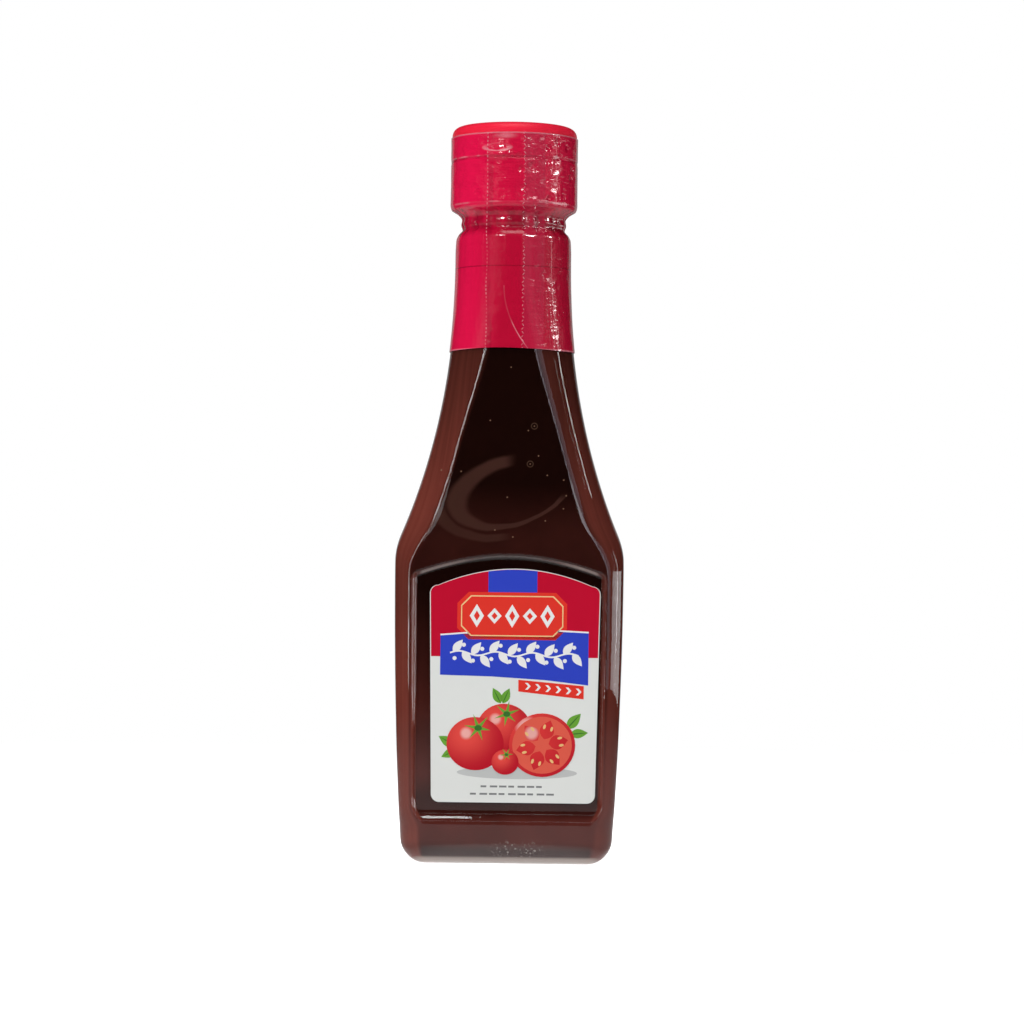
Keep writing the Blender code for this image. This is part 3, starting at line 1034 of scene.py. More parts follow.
@dataclass(frozen=True)
class ShrinkFilm:
    """Glossy crimson shrink film: two lines of perforations, a lap, wrinkles, painted highlights on its
    edges, painted shade.
    """

    on_cap: Colour = (0.72, 0.004, 0.052)
    on_neck: Colour = (0.52, 0.0025, 0.033)
    lapped: Colour = (0.53, 0.017, 0.060)
    # Painted light: the film's brighter left side
    painted_lit_side: Colour = (0.94, 0.007, 0.085)
    # Dark of the lid's seam and the neck line, and of the painted shade in the folds and the waist
    shade: Colour = (0.20, 0.001, 0.012)
    # Pale of the slits and the lid's ledge, and of the painted highlights
    pale_marks_and_highlights: Colour = (0.80, 0.30, 0.36)
    roughness: float = 0.20
    plain_line_x: float = -7.2 * MM
    zigzag_line_x: float = 2.7 * MM
    zigzag: float = 0.7 * MM
    pitch: float = 1.05 * MM
    lap_end_x: float = 8.6 * MM
    foot_z: float = 137.5 * MM
    crease_top: Station = (-2.4 * MM, 154.8 * MM)
    crease_reach: Station = (6.0 * MM, 16.1 * MM)
    neck_line_z: float = 160.2 * MM
    waist_z: float = 172.8 * MM
    pinched_z: float = 172.5 * MM
    cap_foot: Station = (170.0 * MM, 178.0 * MM)
    cap_rim_z: float = 177.3 * MM
    seam_z: float = 189.3 * MM
    tab: Station = (-4.6 * MM, 191.9 * MM)
    tab_half: Station = (3.8 * MM, 1.15 * MM)
    sheen: Station = (-2.4 * MM, 195.0 * MM)
    sheen_half: Station = (4.2 * MM, 1.1 * MM)
    top_z: float = 196.0 * MM
    wrinkle: float = 0.11 * MM

    def read_place(self, graph: Graph) -> FilmPlace:
        """Reads the place, and two kinds of unevenness: lines that wander, and marks that come and go.

        Args:
            graph: The material's graph.

        Returns:
            What the masks read.
        """
        place = graph.place()
        x, y, z = graph.split(place)
        wander = graph.math("SUBTRACT", graph.noise(graph.stretched(place, (0.2, 0.2, 1.0)), 70.0), 0.5)
        wavy = graph.math("MULTIPLY_ADD", wander, 1.6 * MM, x)
        patches = graph.noise(graph.stretched(place, (1.0, 1.0, 0.3)), 240.0)
        patchy = graph.span(patches, 0.38, 0.6, 0.15, 1.0)
        return FilmPlace(graph, place, x, z, graph.math("LESS_THAN", y, 0.0), wavy, patchy)

    def perforation(self, at: FilmPlace, centre: float, sway: float) -> Socket:
        """Builds the mask of a line of small pale slits.

        Args:
            at: What the masks read.
            centre: The line's X.
            sway: How far it zigzags.

        Returns:
            1 on a slit, 0 off it.
        """
        graph = at.graph
        wave = graph.math("DIVIDE", graph.math("PINGPONG", at.z, self.pitch), self.pitch)
        sideways = graph.times(graph.math("SUBTRACT", wave, 0.5), sway)
        slit = graph.span(graph.off(graph.math("SUBTRACT", at.wavy, centre), sideways), 0.20 * MM, 0.06 * MM)
        beat = graph.math("FRACT", graph.math("DIVIDE", at.z, self.pitch))
        return graph.times(slit, graph.span(beat, 0.08, 0.2), graph.span(beat, 0.72, 0.6))

    def slits(self, at: FilmPlace) -> Socket:
        """Builds the mask of both lines of perforations, which fade in and out.

        Args:
            at: What the masks read.

        Returns:
            1 on a slit, 0 off it.
        """
        graph = at.graph
        plain = self.perforation(at, self.plain_line_x, 0.0)
        zigzag = self.perforation(at, self.zigzag_line_x, self.zigzag)
        fade = graph.span(graph.noise(at.place, 160.0), 0.35, 0.6, 0.2, 0.8)
        return graph.times(graph.math("MAXIMUM", plain, zigzag), fade, at.front)

    def painted_tab_highlights(self, at: FilmPlace) -> Socket:
        """Builds the mask of the painted highlights on the thumb tab and on the rim above it.

        Args:
            at: What the masks read.

        Returns:
            How strong the painted highlight is, under 1.
        """
        graph = at.graph
        out, _, up = graph.apart(at.x, at.z, self.tab, self.tab_half)
        lens = graph.times(graph.span(graph.off(out, 0.9), 0.26, 0.05), graph.span(up, 0.7, -0.5, 0.12, 0.65))
        sheen = graph.span(graph.apart(at.x, at.z, self.sheen, self.sheen_half)[0], 1.0, 0.1, 0.0, 0.45)
        return graph.math("MAXIMUM", lens, sheen)

    def dimples(self, at: FilmPlace) -> Socket:
        """Builds the mask of small round dimples, most of them over the right of the cap.

        Args:
            at: What the masks read.

        Returns:
            1 in the middle of a dimple, 0 off it.
        """
        graph = at.graph
        cells = graph.node("ShaderNodeTexVoronoi")
        graph.link(at.place, cells.inputs["Vector"])
        cells.inputs["Scale"].default_value = 310.0
        bowl = graph.span(cells.outputs["Distance"], 0.42, 0.05)
        chosen = graph.math("GREATER_THAN", graph.split(cells.outputs["Color"])[0], 0.45)
        over_cap = graph.span(at.z, 174.0 * MM, 179.0 * MM, 0.15, 1.0)
        right = graph.span(at.x, 1.0 * MM, 9.0 * MM, 0.35, 1.0)
        return graph.times(bowl, chosen, over_cap, right)

    def ground(self, at: FilmPlace, cloud: Socket) -> Socket:
        """Colours the plain film: deeper over the neck, and with painted light brighter on the left, where
        the light comes from.

        Args:
            at: What the masks read.
            cloud: Cloudy noise.

        Returns:
            The colour.
        """
        graph = at.graph
        colour = graph.mix(graph.span(at.z, 168.0 * MM, 178.0 * MM), self.on_neck, self.on_cap)
        colour = graph.mix(graph.times(cloud, 0.35), colour, self.on_neck)
        # Painted light: the left of the film brighter
        return graph.mix(graph.span(at.x, -3.0 * MM, -12.5 * MM, 0.0, 0.62), colour, self.painted_lit_side)

    def seam_and_painted_shade(self, at: FilmPlace, colour: Socket, seam: Socket) -> Socket:
        """Darkens the lid's seam, and paints shade into the folds beside the perforations and the waist under
        the cap.

        Args:
            at: What the masks read.
            colour: Colour so far.
            seam: Mask of the lid's seam.

        Returns:
            The colour.
        """
        graph = at.graph
        colour = graph.mix(graph.times(seam, at.patchy, 0.4), colour, self.shade)
        for line_x in (self.plain_line_x, self.zigzag_line_x):
            # Painted shade in the fold beside each line of perforations
            painted_fold_shade = graph.span(graph.off(at.wavy, line_x + 0.9 * MM), 1.0 * MM, 0.3 * MM, 0.0, 0.30)
            colour = graph.mix(graph.times(painted_fold_shade, at.patchy, at.front), colour, self.shade)
        # Painted shade in the pinched waist under the cap
        pinch = graph.span(graph.off(at.z, self.waist_z), 4.6 * MM, 1.2 * MM, 0.0, 0.6)
        return graph.mix(graph.times(pinch, at.patchy), colour, self.shade)

    def lapped_over(self, at: FilmPlace, colour: Socket) -> Socket:
        """Adds the pale ledge of the lid, the lap of the film, and the dark level line on the neck.

        Args:
            at: What the masks read.
            colour: Colour so far.

        Returns:
            The colour.
        """
        graph = at.graph
        ledge = at.level_line(self.seam_z + 0.5 * MM, 0.30 * MM, 0.08 * MM)
        aside = graph.span(graph.off(at.x, 2.0 * MM), 6.0 * MM, 11.0 * MM, 0.05, 0.5)
        colour = graph.mix(graph.times(ledge, aside, at.patchy), colour, self.pale_marks_and_highlights)
        starts = graph.span(at.x, self.zigzag_line_x, self.zigzag_line_x + 0.3 * MM)
        ends = graph.span(at.x, self.lap_end_x, self.lap_end_x - 0.4 * MM)
        colour = graph.mix(graph.times(starts, ends, at.front, 0.6), colour, self.lapped)
        line = at.level_line(self.neck_line_z, 0.22 * MM, 0.08 * MM)
        return graph.mix(graph.times(line, 0.55), colour, self.shade)

    def painted_highlights(self, at: FilmPlace, colour: Socket) -> Socket:
        """Adds painted highlights: along a curved crease, on the tab and the cap's rim, and on the cut edges.

        Args:
            at: What the masks read.
            colour: Colour so far.

        Returns:
            The colour.
        """
        graph = at.graph
        # Painted highlight along a curved crease
        fallen = graph.math("DIVIDE", graph.math("SUBTRACT", self.crease_top[1], at.z), self.crease_reach[1])
        curve = graph.math(
            "MULTIPLY_ADD", graph.times(fallen, fallen), self.crease_reach[0], self.crease_top[0]
        )
        crease = graph.span(graph.off(at.x, curve), 0.24 * MM, 0.05 * MM)
        crease = graph.times(crease, at.front, graph.math("GREATER_THAN", fallen, 0.0), at.patchy, 0.75)
        colour = graph.mix(crease, colour, self.pale_marks_and_highlights)
        # Painted highlights on the thumb tab and the rim above it
        colour = graph.mix(graph.times(self.painted_tab_highlights(at), at.front), colour, self.pale_marks_and_highlights)
        # Painted highlight along the cap's rim
        rim = at.level_line(self.cap_rim_z, 0.34 * MM, 0.10 * MM)
        colour = graph.mix(graph.times(rim, at.patchy, 0.4), colour, self.pale_marks_and_highlights)
        # Painted highlights along the cut edges at the foot and the top
        foot = graph.span(at.z, self.foot_z + 0.55 * MM, self.foot_z + 0.2 * MM)
        top = graph.span(at.z, self.top_z - 0.5 * MM, self.top_z - 0.2 * MM)
        return graph.mix(graph.times(graph.math("MAXIMUM", foot, top), 0.55), colour, self.pale_marks_and_highlights)

    def relief(self, at: FilmPlace, seam: Socket, slits: Socket) -> Socket:
        """Builds the height of the wrinkles, the dimples, the slits and the dip over the lid's seam.

        Args:
            at: What the masks read.
            seam: Mask of the lid's seam.
            slits: Mask of the perforations.

        Returns:
            The height, in wrinkles.
        """
        graph = at.graph
        upright = graph.noise(graph.stretched(at.place, (1.0, 1.0, 0.22)), 330.0, 3.0, 0.55)
        level = graph.noise(graph.stretched(at.place, (1.0, 1.0, 2.6)), 150.0, 3.0, 0.6)
        on_cap = graph.span(at.z, *self.cap_foot, 2.0, 4.0)
        pinched = graph.span(graph.off(at.z, self.pinched_z), 7.0 * MM, 2.0 * MM, 3.0, 6.5)
        crinkle = graph.math("MULTIPLY_ADD", level, on_cap, graph.times(upright, pinched))
        height = graph.math("MULTIPLY_ADD", self.dimples(at), -5.0, crinkle)
        return graph.math("MULTIPLY_ADD", seam, -1.6, graph.math("ADD", height, slits))

    def build(self) -> bpy.types.Material:
        """Makes the material.

        Returns:
            The material.
        """
        material, graph, shader = new_material("shrink_film")
        at = self.read_place(graph)
        marks = add_marks(graph, shader, self.roughness, 0.10, 0.0)
        slits = self.slits(at)
        seam = at.level_line(self.seam_z, 0.45 * MM, 0.10 * MM)
        colour = self.seam_and_painted_shade(at, self.ground(at, marks.outputs["Cloud"]), seam)
        colour = self.painted_highlights(at, self.lapped_over(at, colour))
        graph.link(graph.mix(graph.times(slits, 0.9), colour, self.pale_marks_and_highlights), shader.inputs["Base Color"])
        shader.inputs["Specular IOR Level"].default_value = 0.3
        shader.inputs["Coat Weight"].default_value = 0.8
        shader.inputs["Coat Roughness"].default_value = 0.05
        graph.link(graph.bump(self.relief(at, seam, slits), self.wrinkle), shader.inputs["Normal"])
        return material


@dataclass(frozen=True)
class Ink:
    """A flat field of print on coated paper, with a faint screen of the press and soft gloss."""

    name: str
    colour: Colour
    roughness: float = 0.33

    def build(self) -> bpy.types.Material:
        """Makes the material.

        Returns:
            The material.
        """
        material, graph, shader = new_material("print_" + self.name)
        marks = add_marks(graph, shader, self.roughness, 0.08, 0.004 * MM)
        shade = tuple(part * 0.94 for part in self.colour)
        graph.link(graph.mix(marks.outputs["Cloud"], shade, self.colour), shader.inputs["Base Color"])
        shader.inputs["Specular IOR Level"].default_value = 0.12
        return material


@dataclass(frozen=True)
class RoundInk:
    """Print that looks round: a light spot, and a rim that darkens."""

    name: str
    centre: Station
    radius: float
    light: Colour
    dark: Colour
    shine: Colour = (0.95, 0.72, 0.66)
    roughness: float = 0.33

    def build(self) -> bpy.types.Material:
        """Makes the material.

        Returns:
            The material.
        """
        material, graph, shader = new_material("print_" + self.name)
        x, _, z = graph.split(graph.place())
        spot = (self.centre[0] - 0.32 * self.radius, self.centre[1] + 0.36 * self.radius)
        apart = graph.apart(x, z, spot)[0]
        colour = graph.mix(graph.span(apart, 0.1 * self.radius, 1.35 * self.radius), self.light, self.dark)
        shine = graph.span(apart, 0.26 * self.radius, 0.10 * self.radius)
        colour = graph.mix(graph.times(shine, 0.55), colour, self.shine)
        graph.link(colour, shader.inputs["Base Color"])
        add_marks(graph, shader, self.roughness, 0.08, 0.0)
        shader.inputs["Specular IOR Level"].default_value = 0.12
        return material


def dress(piece: bpy.types.Object, *materials: bpy.types.Material) -> None:
    """Puts materials in a new piece's slots, in order."""
    for material in materials:
        piece.data.materials.append(material)


def enter(piece: bpy.types.Object, slot: str, *nodes: str) -> None:
    """Rides a piece on the body, hides the solids that it stands for, and logs its finish and those solids.

    Args:
        piece: The piece.
        slot: Name of its finish, which is only logged.
        *nodes: Solids that it replaces.
    """
    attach(piece, "root")
    if nodes:
        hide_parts(*nodes)
    faces = len(piece.data.polygons)
    LOG.info("%s: %d faces, slot %s, replaces %s", piece.name, faces, slot, nodes or "nothing")


# Sub-assemblies


@dataclass
class Bottle:
    """The clear bottle, its wall thicker at the foot and the mouth."""

    skin: float = 0.02 * MM
    wall: float = 0.9 * MM
    floor: float = 2.9 * MM
    bore: float = 11.3 * MM
    lip_edge: float = 0.4 * MM
    finish_step: float = 0.6 * MM
    inner_heel_steps: int = 5

    def build(self) -> None:
        """Builds and dresses the shell."""
        outside = FORM.foot_rings(self.skin, 0.0)
        outside += [FORM.ring(height, self.skin) for height in FORM.body_heights()]
        top = FORM.finish[-1][0]
        finish_heights = evenly(FORM.neck_z, top, self.finish_step) + [top]
        outside += [FORM.round_ring(along(FORM.finish, height), height) for height in finish_heights]
        lip = FORM.finish[-1][1]
        outside.append(FORM.round_ring(lip, FORM.mouth_z - self.lip_edge))
        outside.append(FORM.round_ring(lip - self.lip_edge, FORM.mouth_z))
        inside = [FORM.round_ring(self.bore, height) for height in (FORM.mouth_z, FORM.finish[3][0])]
        inside.append(FORM.round_ring(FORM.neck_radius - self.wall, FORM.neck_z))
        inside += [FORM.ring(height, self.wall) for height in FORM.body_heights()[::-3]]
        inside += FORM.foot_rings(self.wall, self.floor, self.inner_heel_steps)[::-1]
        shell = skinned("bottle_shell", outside + inside, sharp=60.0)
        dress(shell, ClearPlastic().build())
        enter(shell, "clear_plastic", "bottle")


@dataclass
class Filling:
    """The ketchup, out into the wall so that no air shows between them."""

    into_wall: float = 0.55 * MM
    floor: float = 2.5 * MM
    level_z: float = 160.0 * MM
    edge_in: float = 0.8 * MM
    edge_down: float = 1.0 * MM
    panel_by_z: float = 84.0 * MM

    def build(self) -> None:
        """Builds and dresses the sauce."""
        rings = FORM.foot_rings(self.into_wall, self.floor)
        heights = [height for height in FORM.body_heights() if height < self.level_z - 2.0 * self.edge_down]
        heights.append(self.level_z - self.edge_down)
        rings += [FORM.ring(height, self.into_wall) for height in heights]
        rings.append(FORM.round_ring(FORM.neck_radius - self.into_wall - self.edge_in, self.level_z))
        sauce = skinned("ketchup_filling", rings, sharp=60.0)
        turned = sauce.data.attributes.new("turned", "FLOAT", "POINT")
        panel = sauce.data.attributes.new("panel", "FLOAT", "POINT")
        for corner in sauce.data.vertices:
            aside = math.atan2(abs(corner.normal.x), abs(corner.normal.y) + 1e-6)
            turned.data[corner.index].value = aside / (math.pi / 2.0)
            depth = FORM.half_depth(corner.co.z) - self.into_wall - abs(corner.co.y)
            if corner.co.z < self.panel_by_z and abs(corner.co.x) < FORM.section_at(corner.co.z)[2]:
                panel.data[corner.index].value = min(max(depth / FORM.panel_depth, 0.0), 1.0)
        dress(sauce, Sauce().build())
        enter(sauce, "ketchup", "ketchup")


@dataclass
class Cap:
    """The flip-top cap: a base with a closed deck, and a lid with a rounded rim and a thumb tab."""

    radius: float = 17.0 * MM
    wall: float = 1.6 * MM
    foot_z: float = 176.8 * MM
    seam_z: float = 189.3 * MM
    seam_gap: float = 0.4 * MM
    deck: float = 1.8 * MM
    top_z: float = 199.6 * MM
    edge: float = 2.4 * MM
    crown: float = 0.6 * MM
    chamfer: float = 0.8 * MM
    fillet: float = 0.5 * MM
    base_edge: float = 0.3 * MM
    lid_edge: float = 0.2 * MM
    tab_turn: float = math.radians(-15.6)
    tab_proud: float = 0.5 * MM
    tab_half: float = 3.6 * MM
    tab_height: float = 1.9 * MM
    tab_rings: tuple[int, ...] = (4, 5, 6)
    crown_shares: tuple[float, ...] = (0.85, 0.65, 0.45, 0.25, 0.08)
    chamfer_steps: int = 4
    edge_steps: int = 7

    def build_base(self, plastic: bpy.types.Material) -> None:
        """Builds and dresses the base.

        Args:
            plastic: Its material.
        """
        inner = self.radius - self.wall
        top = self.seam_z - self.seam_gap / 2.0
        stations = [
            (inner / 3.0, top - self.deck), (inner - self.fillet, top - self.deck),
            (inner, top - self.deck - self.fillet), (inner, self.foot_z),
            (self.radius - self.chamfer, self.foot_z),
        ]
        for step in range(1, self.chamfer_steps + 1):
            angle = math.pi / 2.0 * step / self.chamfer_steps
            out, up = 1.0 - math.sin(angle), 1.0 - math.cos(angle)
            stations.append((self.radius - self.chamfer * out, self.foot_z + self.chamfer * up))
        stations += [(self.radius, top - self.base_edge), (self.radius - self.base_edge, top)]
        stations.append((inner / 3.0, top))
        base = skinned("cap_base_moulding", [FORM.round_ring(radius, height) for radius, height in stations])
        dress(base, plastic)
        enter(base, "cap_plastic", "cap_base")

    def build_lid(self, plastic: bpy.types.Material) -> None:
        """Builds and dresses the lid.

        Args:
            plastic: Its material.
        """
        inner = self.radius - self.wall
        foot = self.seam_z + self.seam_gap / 2.0
        edge_z = self.top_z - self.crown - self.edge
        stations = [
            (inner / 3.0, edge_z + self.edge - self.wall),
            (inner - self.edge / 2.0, edge_z + self.edge - self.wall),
            (inner, edge_z), (inner, foot),
            (self.radius - self.lid_edge, foot), (self.radius, foot + self.lid_edge),
            (self.radius, foot + 0.8 * self.tab_height), (self.radius, foot + self.tab_height),
        ]
        for step in range(self.edge_steps + 1):
            angle = math.pi / 2.0 * step / self.edge_steps
            out, up = 1.0 - math.cos(angle), math.sin(angle)
            stations.append((self.radius - self.edge * out, edge_z + self.edge * up))
        flat = self.radius - self.edge
        for share in self.crown_shares:
            stations.append((flat * share, self.top_z - self.crown * share * share))
        rings = [FORM.round_ring(radius, height) for radius, height in stations]
        for place in self.tab_rings:
            radius, height = stations[place]
            reaches = [radius + self.tab_at(index) for index in range(FORM.columns)]
            rings[place] = [FORM.round_point(index, reach, height) for index, reach in enumerate(reaches)]
        lid = skinned("cap_lid_moulding", rings)
        dress(lid, plastic)
        enter(lid, "cap_plastic", "cap_lid")

    def tab_at(self, index: int) -> float:
        """Works out how far the thumb tab stands out at a column.

        Args:
            index: The column.

        Returns:
            How far it stands out, 0 beside it.
        """
        angle = 2.0 * math.pi * index / FORM.columns - self.tab_turn
        aside = abs((angle + math.pi) % (2.0 * math.pi) - math.pi) * self.radius
        return self.tab_proud * (1.0 - smooth_step(0.75 * self.tab_half, 1.15 * self.tab_half, aside))

    def build(self) -> None:
        """Builds both mouldings in one plastic."""
        plastic = MouldedPlastic().build()
        self.build_base(plastic)
        self.build_lid(plastic)


@dataclass
class Sleeve:
    """The shrink sleeve: a thin film drawn tight over the neck and the cap, with flutes, pleats and dents."""

    cap: Cap
    film: float = 0.15 * MM
    standoff: float = 0.30 * MM
    foot_z: float = 137.5 * MM
    unevenness: float = 0.6 * MM
    foot_fade: float = 2.0 * MM
    seed: int = 7
    pleat_count: int = 44
    crease_count: int = 60
    waist: Station = (172.5 * MM, 3.4 * MM)
    seam_half: float = 0.45 * MM
    seam_dip: float = 0.12 * MM
    flute: float = 0.05 * MM
    over_neck: tuple[Station, Station] = ((140.0 * MM, 150.0 * MM), (164.0 * MM, 169.0 * MM))
    over_cap: tuple[Station, Station] = ((178.0 * MM, 180.0 * MM), (194.0 * MM, 196.0 * MM))
    over_tab: float = 1.7
    tab_rise: float = 0.7 * MM
    tab_spread: float = 1.3 * MM
    gathered: Station = (167.0 * MM, 179.0 * MM)
    outer: tuple[Station, ...] = in_mm(
        (165.0, 15.8), (168.2, 15.6), (169.6, 15.0), (171.0, 13.9), (172.4, 14.3), (173.8, 14.1),
        (175.2, 15.1), (176.5, 17.0), (178.0, 17.3), (196.0, 17.3),
    )
    # Pleats are (angle, half width, depth). Creases and dents are (degrees, height, half width, depth) in mm
    pleats: list[tuple[float, float, float]] = field(default_factory=list)
    creases: list[tuple[float, float, float, float]] = field(default_factory=list)
    dents: tuple[tuple[float, float, float, float], ...] = (
        (28.0, 187.4, 1.0, 0.22), (41.0, 188.4, 0.9, 0.24), (53.0, 187.7, 0.9, 0.22),
        (41.0, 186.0, 0.8, 0.20), (54.0, 185.7, 0.8, 0.20), (26.0, 181.7, 0.9, 0.22),
        (40.0, 181.7, 0.9, 0.24), (26.0, 180.2, 0.8, 0.18), (51.0, 179.8, 1.0, 0.22),
        (41.0, 194.5, 0.9, 0.20), (52.0, 193.6, 1.0, 0.22), (15.0, 194.6, 0.9, 0.18),
        (26.0, 193.6, 0.9, 0.20), (-14.0, 194.2, 2.2, 0.16), (-26.0, 182.0, 1.8, 0.16),
        (-8.0, 181.0, 1.6, 0.18), (6.0, 180.6, 1.4, 0.18), (-42.0, 190.6, 1.8, 0.14),
    )

    def draw_pleats(self) -> None:
        """Draws the pleats at the waist, and small dents over the cap."""
        draw = random.Random(self.seed)
        for _ in range(self.pleat_count):
            turn, half = draw.uniform(-math.pi, math.pi), draw.uniform(0.02, 0.07)
            self.pleats.append((turn, half, draw.uniform(0.15, 0.6) * MM))
        for _ in range(self.crease_count):
            bearing, middle = draw.uniform(-180.0, 180.0), draw.uniform(178.5, 194.5)
            self.creases.append((bearing, middle, draw.uniform(0.5, 1.2), draw.uniform(0.05, 0.16)))

    def relief(self, angle: float, height: float) -> float:
        """Works out how far the film dips at a place, from pleats, flutes and the dip over the lid's seam.

        Args:
            angle: Turn from the front, anticlockwise from above.
            height: Height above the foot.

        Returns:
            The dip, in metres. It is never under 0, so that the film stays inside its solid.
        """
        dip = 0.0
        pinch = math.exp(-(((height - self.waist[0]) / self.waist[1]) ** 2))
        for turn, half, depth in self.pleats:
            apart = (angle - turn + math.pi) % (2.0 * math.pi) - math.pi
            dip += depth * pinch * math.exp(-((apart / half) ** 2))
        neck = smooth_hump(*self.over_neck, height)
        flutes = math.sin(17.0 * angle + 2.0 * math.sin(height * 90.0)) * math.sin(7.0 * angle + 1.3)
        dip += self.flute * neck * (0.6 + 0.4 * flutes)
        dip += self.seam_dip * math.exp(-(((height - self.cap.seam_z) / self.seam_half) ** 2))
        for bearing, middle, half, depth in (*self.dents, *self.creases):
            aside = ((angle - math.radians(bearing) + math.pi) % (2.0 * math.pi) - math.pi) * self.cap.radius
            away = (aside * aside + (height - middle * MM) ** 2) / (half * MM) ** 2
            dip += depth * MM * math.exp(-away)
        side = smooth_hump(*self.over_cap, height)
        ripple = math.sin(11.0 * angle + 900.0 * height) * math.sin(23.0 * angle - 500.0 * height)
        dip += self.flute * side * (0.7 + 0.3 * ripple)
        return max(dip, 0.0)

    def skin(self, drawn: float, heights: Iterable[float]) -> list[Ring]:
        """Rings of one side of the film.

        Args:
            drawn: How far the side lies under the outside of the film.
            heights: Heights of the rings.

        Returns:
            The rings, lowest first.
        """
        rings = []
        for height in heights:
            ring = []
            for index in range(FORM.columns):
                angle = 2.0 * math.pi * index / FORM.columns
                dip = self.relief(angle, height) + drawn
                if height < FORM.neck_z:
                    uneven = self.unevenness * (0.5 + 0.5 * math.sin(3.0 * angle + 1.9))
                    near_foot = 1.0 - smooth_step(self.foot_z, self.foot_z + self.foot_fade, height)
                    raised = height + uneven * near_foot
                    point = FORM.point(index, raised, dip - self.standoff)
                else:
                    over_seam = height - self.cap.seam_z - self.tab_rise
                    near_tab = math.exp(-((over_seam / self.tab_spread) ** 2))
                    tab = self.over_tab * (self.cap.tab_at(index) * near_tab)
                    point = FORM.round_point(index, along(self.outer, height) + tab - dip, height)
                ring.append(point)
            rings.append(ring)
        return rings

    def build(self) -> None:
        """Builds and dresses the film."""
        self.draw_pleats()
        low, high = self.gathered
        top = self.outer[-1][0]
        heights = evenly(self.foot_z, low, 1.0 * MM) + evenly(low, high, 0.3 * MM)
        heights += evenly(high, top, 0.5 * MM) + [top]
        rings = self.skin(0.0, heights) + self.skin(self.film, heights[::3] + heights[-1:])[::-1]
        sleeve = skinned("shrink_film", rings, closed_round=True, sharp=60.0)
        dress(sleeve, ShrinkFilm().build())
        enter(sleeve, "sleeve_film", "shrink_sleeve")


# Outlines of print


def arched(
    half_top: float, half_foot: float, foot_z: float, corner_z: float, rise: float, radius: float
) -> Outline:
    """Lists the corners of an upright shape with a straight foot, an arched top and rounded corners.

    Args:
        half_top: Half its width at the top.
        half_foot: Half its width at the foot.
        foot_z: Height of its foot.
        corner_z: Height of its top corners.
        rise: Rise of the arch over them.
        radius: Radius of the corners.

    Returns:
        The outline, anticlockwise, centred on x = 0.
    """
    corner_steps, arch_steps = 8, 24

    def rounded(x: float, z: float, start: float) -> Outline:
        """A quarter turn about a centre, from a start angle in degrees."""
        angles = [math.radians(start + 90.0 * step / corner_steps) for step in range(corner_steps + 1)]
        return [(x + radius * math.cos(angle), z + radius * math.sin(angle)) for angle in angles]

    low, high = foot_z + radius, corner_z - radius
    reach_low, reach_high = half_foot - radius, half_top - radius
    outline = rounded(reach_low, low, -90.0) + rounded(reach_high, high, 0.0)
    for step in range(1, arch_steps):
        share = 1.0 - 2.0 * step / arch_steps
        outline.append((share * reach_high, corner_z + rise * (1.0 - share * share)))
    return outline + rounded(-reach_high, high, 90.0) + rounded(-reach_low, low, 180.0)


def oval(centre: Station, half_x: float, half_z: float, turn: float = 0.0, steps: int = 40) -> Outline:
    """Lists the corners of an ellipse.

    Args:
        centre: Its centre.
        half_x: Half its width.
        half_z: Half its height.
        turn: Its turn in degrees.
        steps: Number of corners.

    Returns:
        The outline, anticlockwise.
    """
    cos, sin = math.cos(math.radians(turn)), math.sin(math.radians(turn))
    outline = []
    for step in range(steps):
        angle = 2.0 * math.pi * step / steps
        x, z = half_x * math.cos(angle), half_z * math.sin(angle)
        outline.append((centre[0] + x * cos - z * sin, centre[1] + x * sin + z * cos))
    return outline


def clipped(centre: Station, half_x: float, half_z: float, clip: float) -> Outline:
    """Lists the corners of a box whose own corners are clipped off.

    Args:
        centre: Its centre.
        half_x: Half its width.
        half_z: Half its height.
        clip: How much is clipped off each side of a corner.

    Returns:
        The outline, anticlockwise.
    """
    x, z = half_x, half_z
    right = ((x - clip, -z), (x, clip - z), (x, z - clip), (x - clip, z))
    left = ((clip - x, z), (-x, z - clip), (-x, clip - z), (clip - x, -z))
    return [(centre[0] + across, centre[1] + up) for across, up in right + left]


def leaf(root: Station, length: float, width: float, turn: float, steps: int = 9) -> Outline:
    """Lists the corners of a pointed leaf.

    Args:
        root: Where its stalk is.
        length: Length to its tip.
        width: Full width.
        turn: Direction of the tip, in degrees from +X.
        steps: Steps along each side.

    Returns:
        The outline.
    """
    cos, sin = math.cos(math.radians(turn)), math.sin(math.radians(turn))
    shares = [step / steps for step in range(steps)]
    sides = [(share, -1.0) for share in shares] + [(1.0 - share, 1.0) for share in shares]
    outline = []
    for share, side in sides:
        along_it, aside = share * length, side * width / 2.0 * math.sin(math.pi * share**0.8)
        outline.append((root[0] + along_it * cos - aside * sin, root[1] + along_it * sin + aside * cos))
    return outline


def spiked(centre: Station, reach: float, waist: float, points: int, turn: float) -> Outline:
    """Lists the corners of a star-shaped calyx with uneven sepals.

    Args:
        centre: Its centre.
        reach: Length of the longest sepal.
        waist: Radius between the sepals.
        points: Number of sepals.
        turn: Turn of the first one in degrees.

    Returns:
        The outline, anticlockwise.
    """
    outline = []
    for step in range(points * 2):
        angle = math.radians(turn) + math.pi * step / points
        radius = waist if step % 2 else reach * (0.8 + 0.2 * math.cos(3.0 * step))
        outline.append((centre[0] + radius * math.cos(angle), centre[1] + radius * math.sin(angle)))
    return outline


def strip(points: Sequence[Station], width: float) -> Outline:
    """Lists the corners of a band drawn along points.

    Args:
        points: The points, from left to right.
        width: Width of the band.

    Returns:
        The outline, anticlockwise.
    """
    above = [(x, z + width / 2.0) for x, z in points]
    below = [(x, z - width / 2.0) for x, z in points]
    return below + above[::-1]


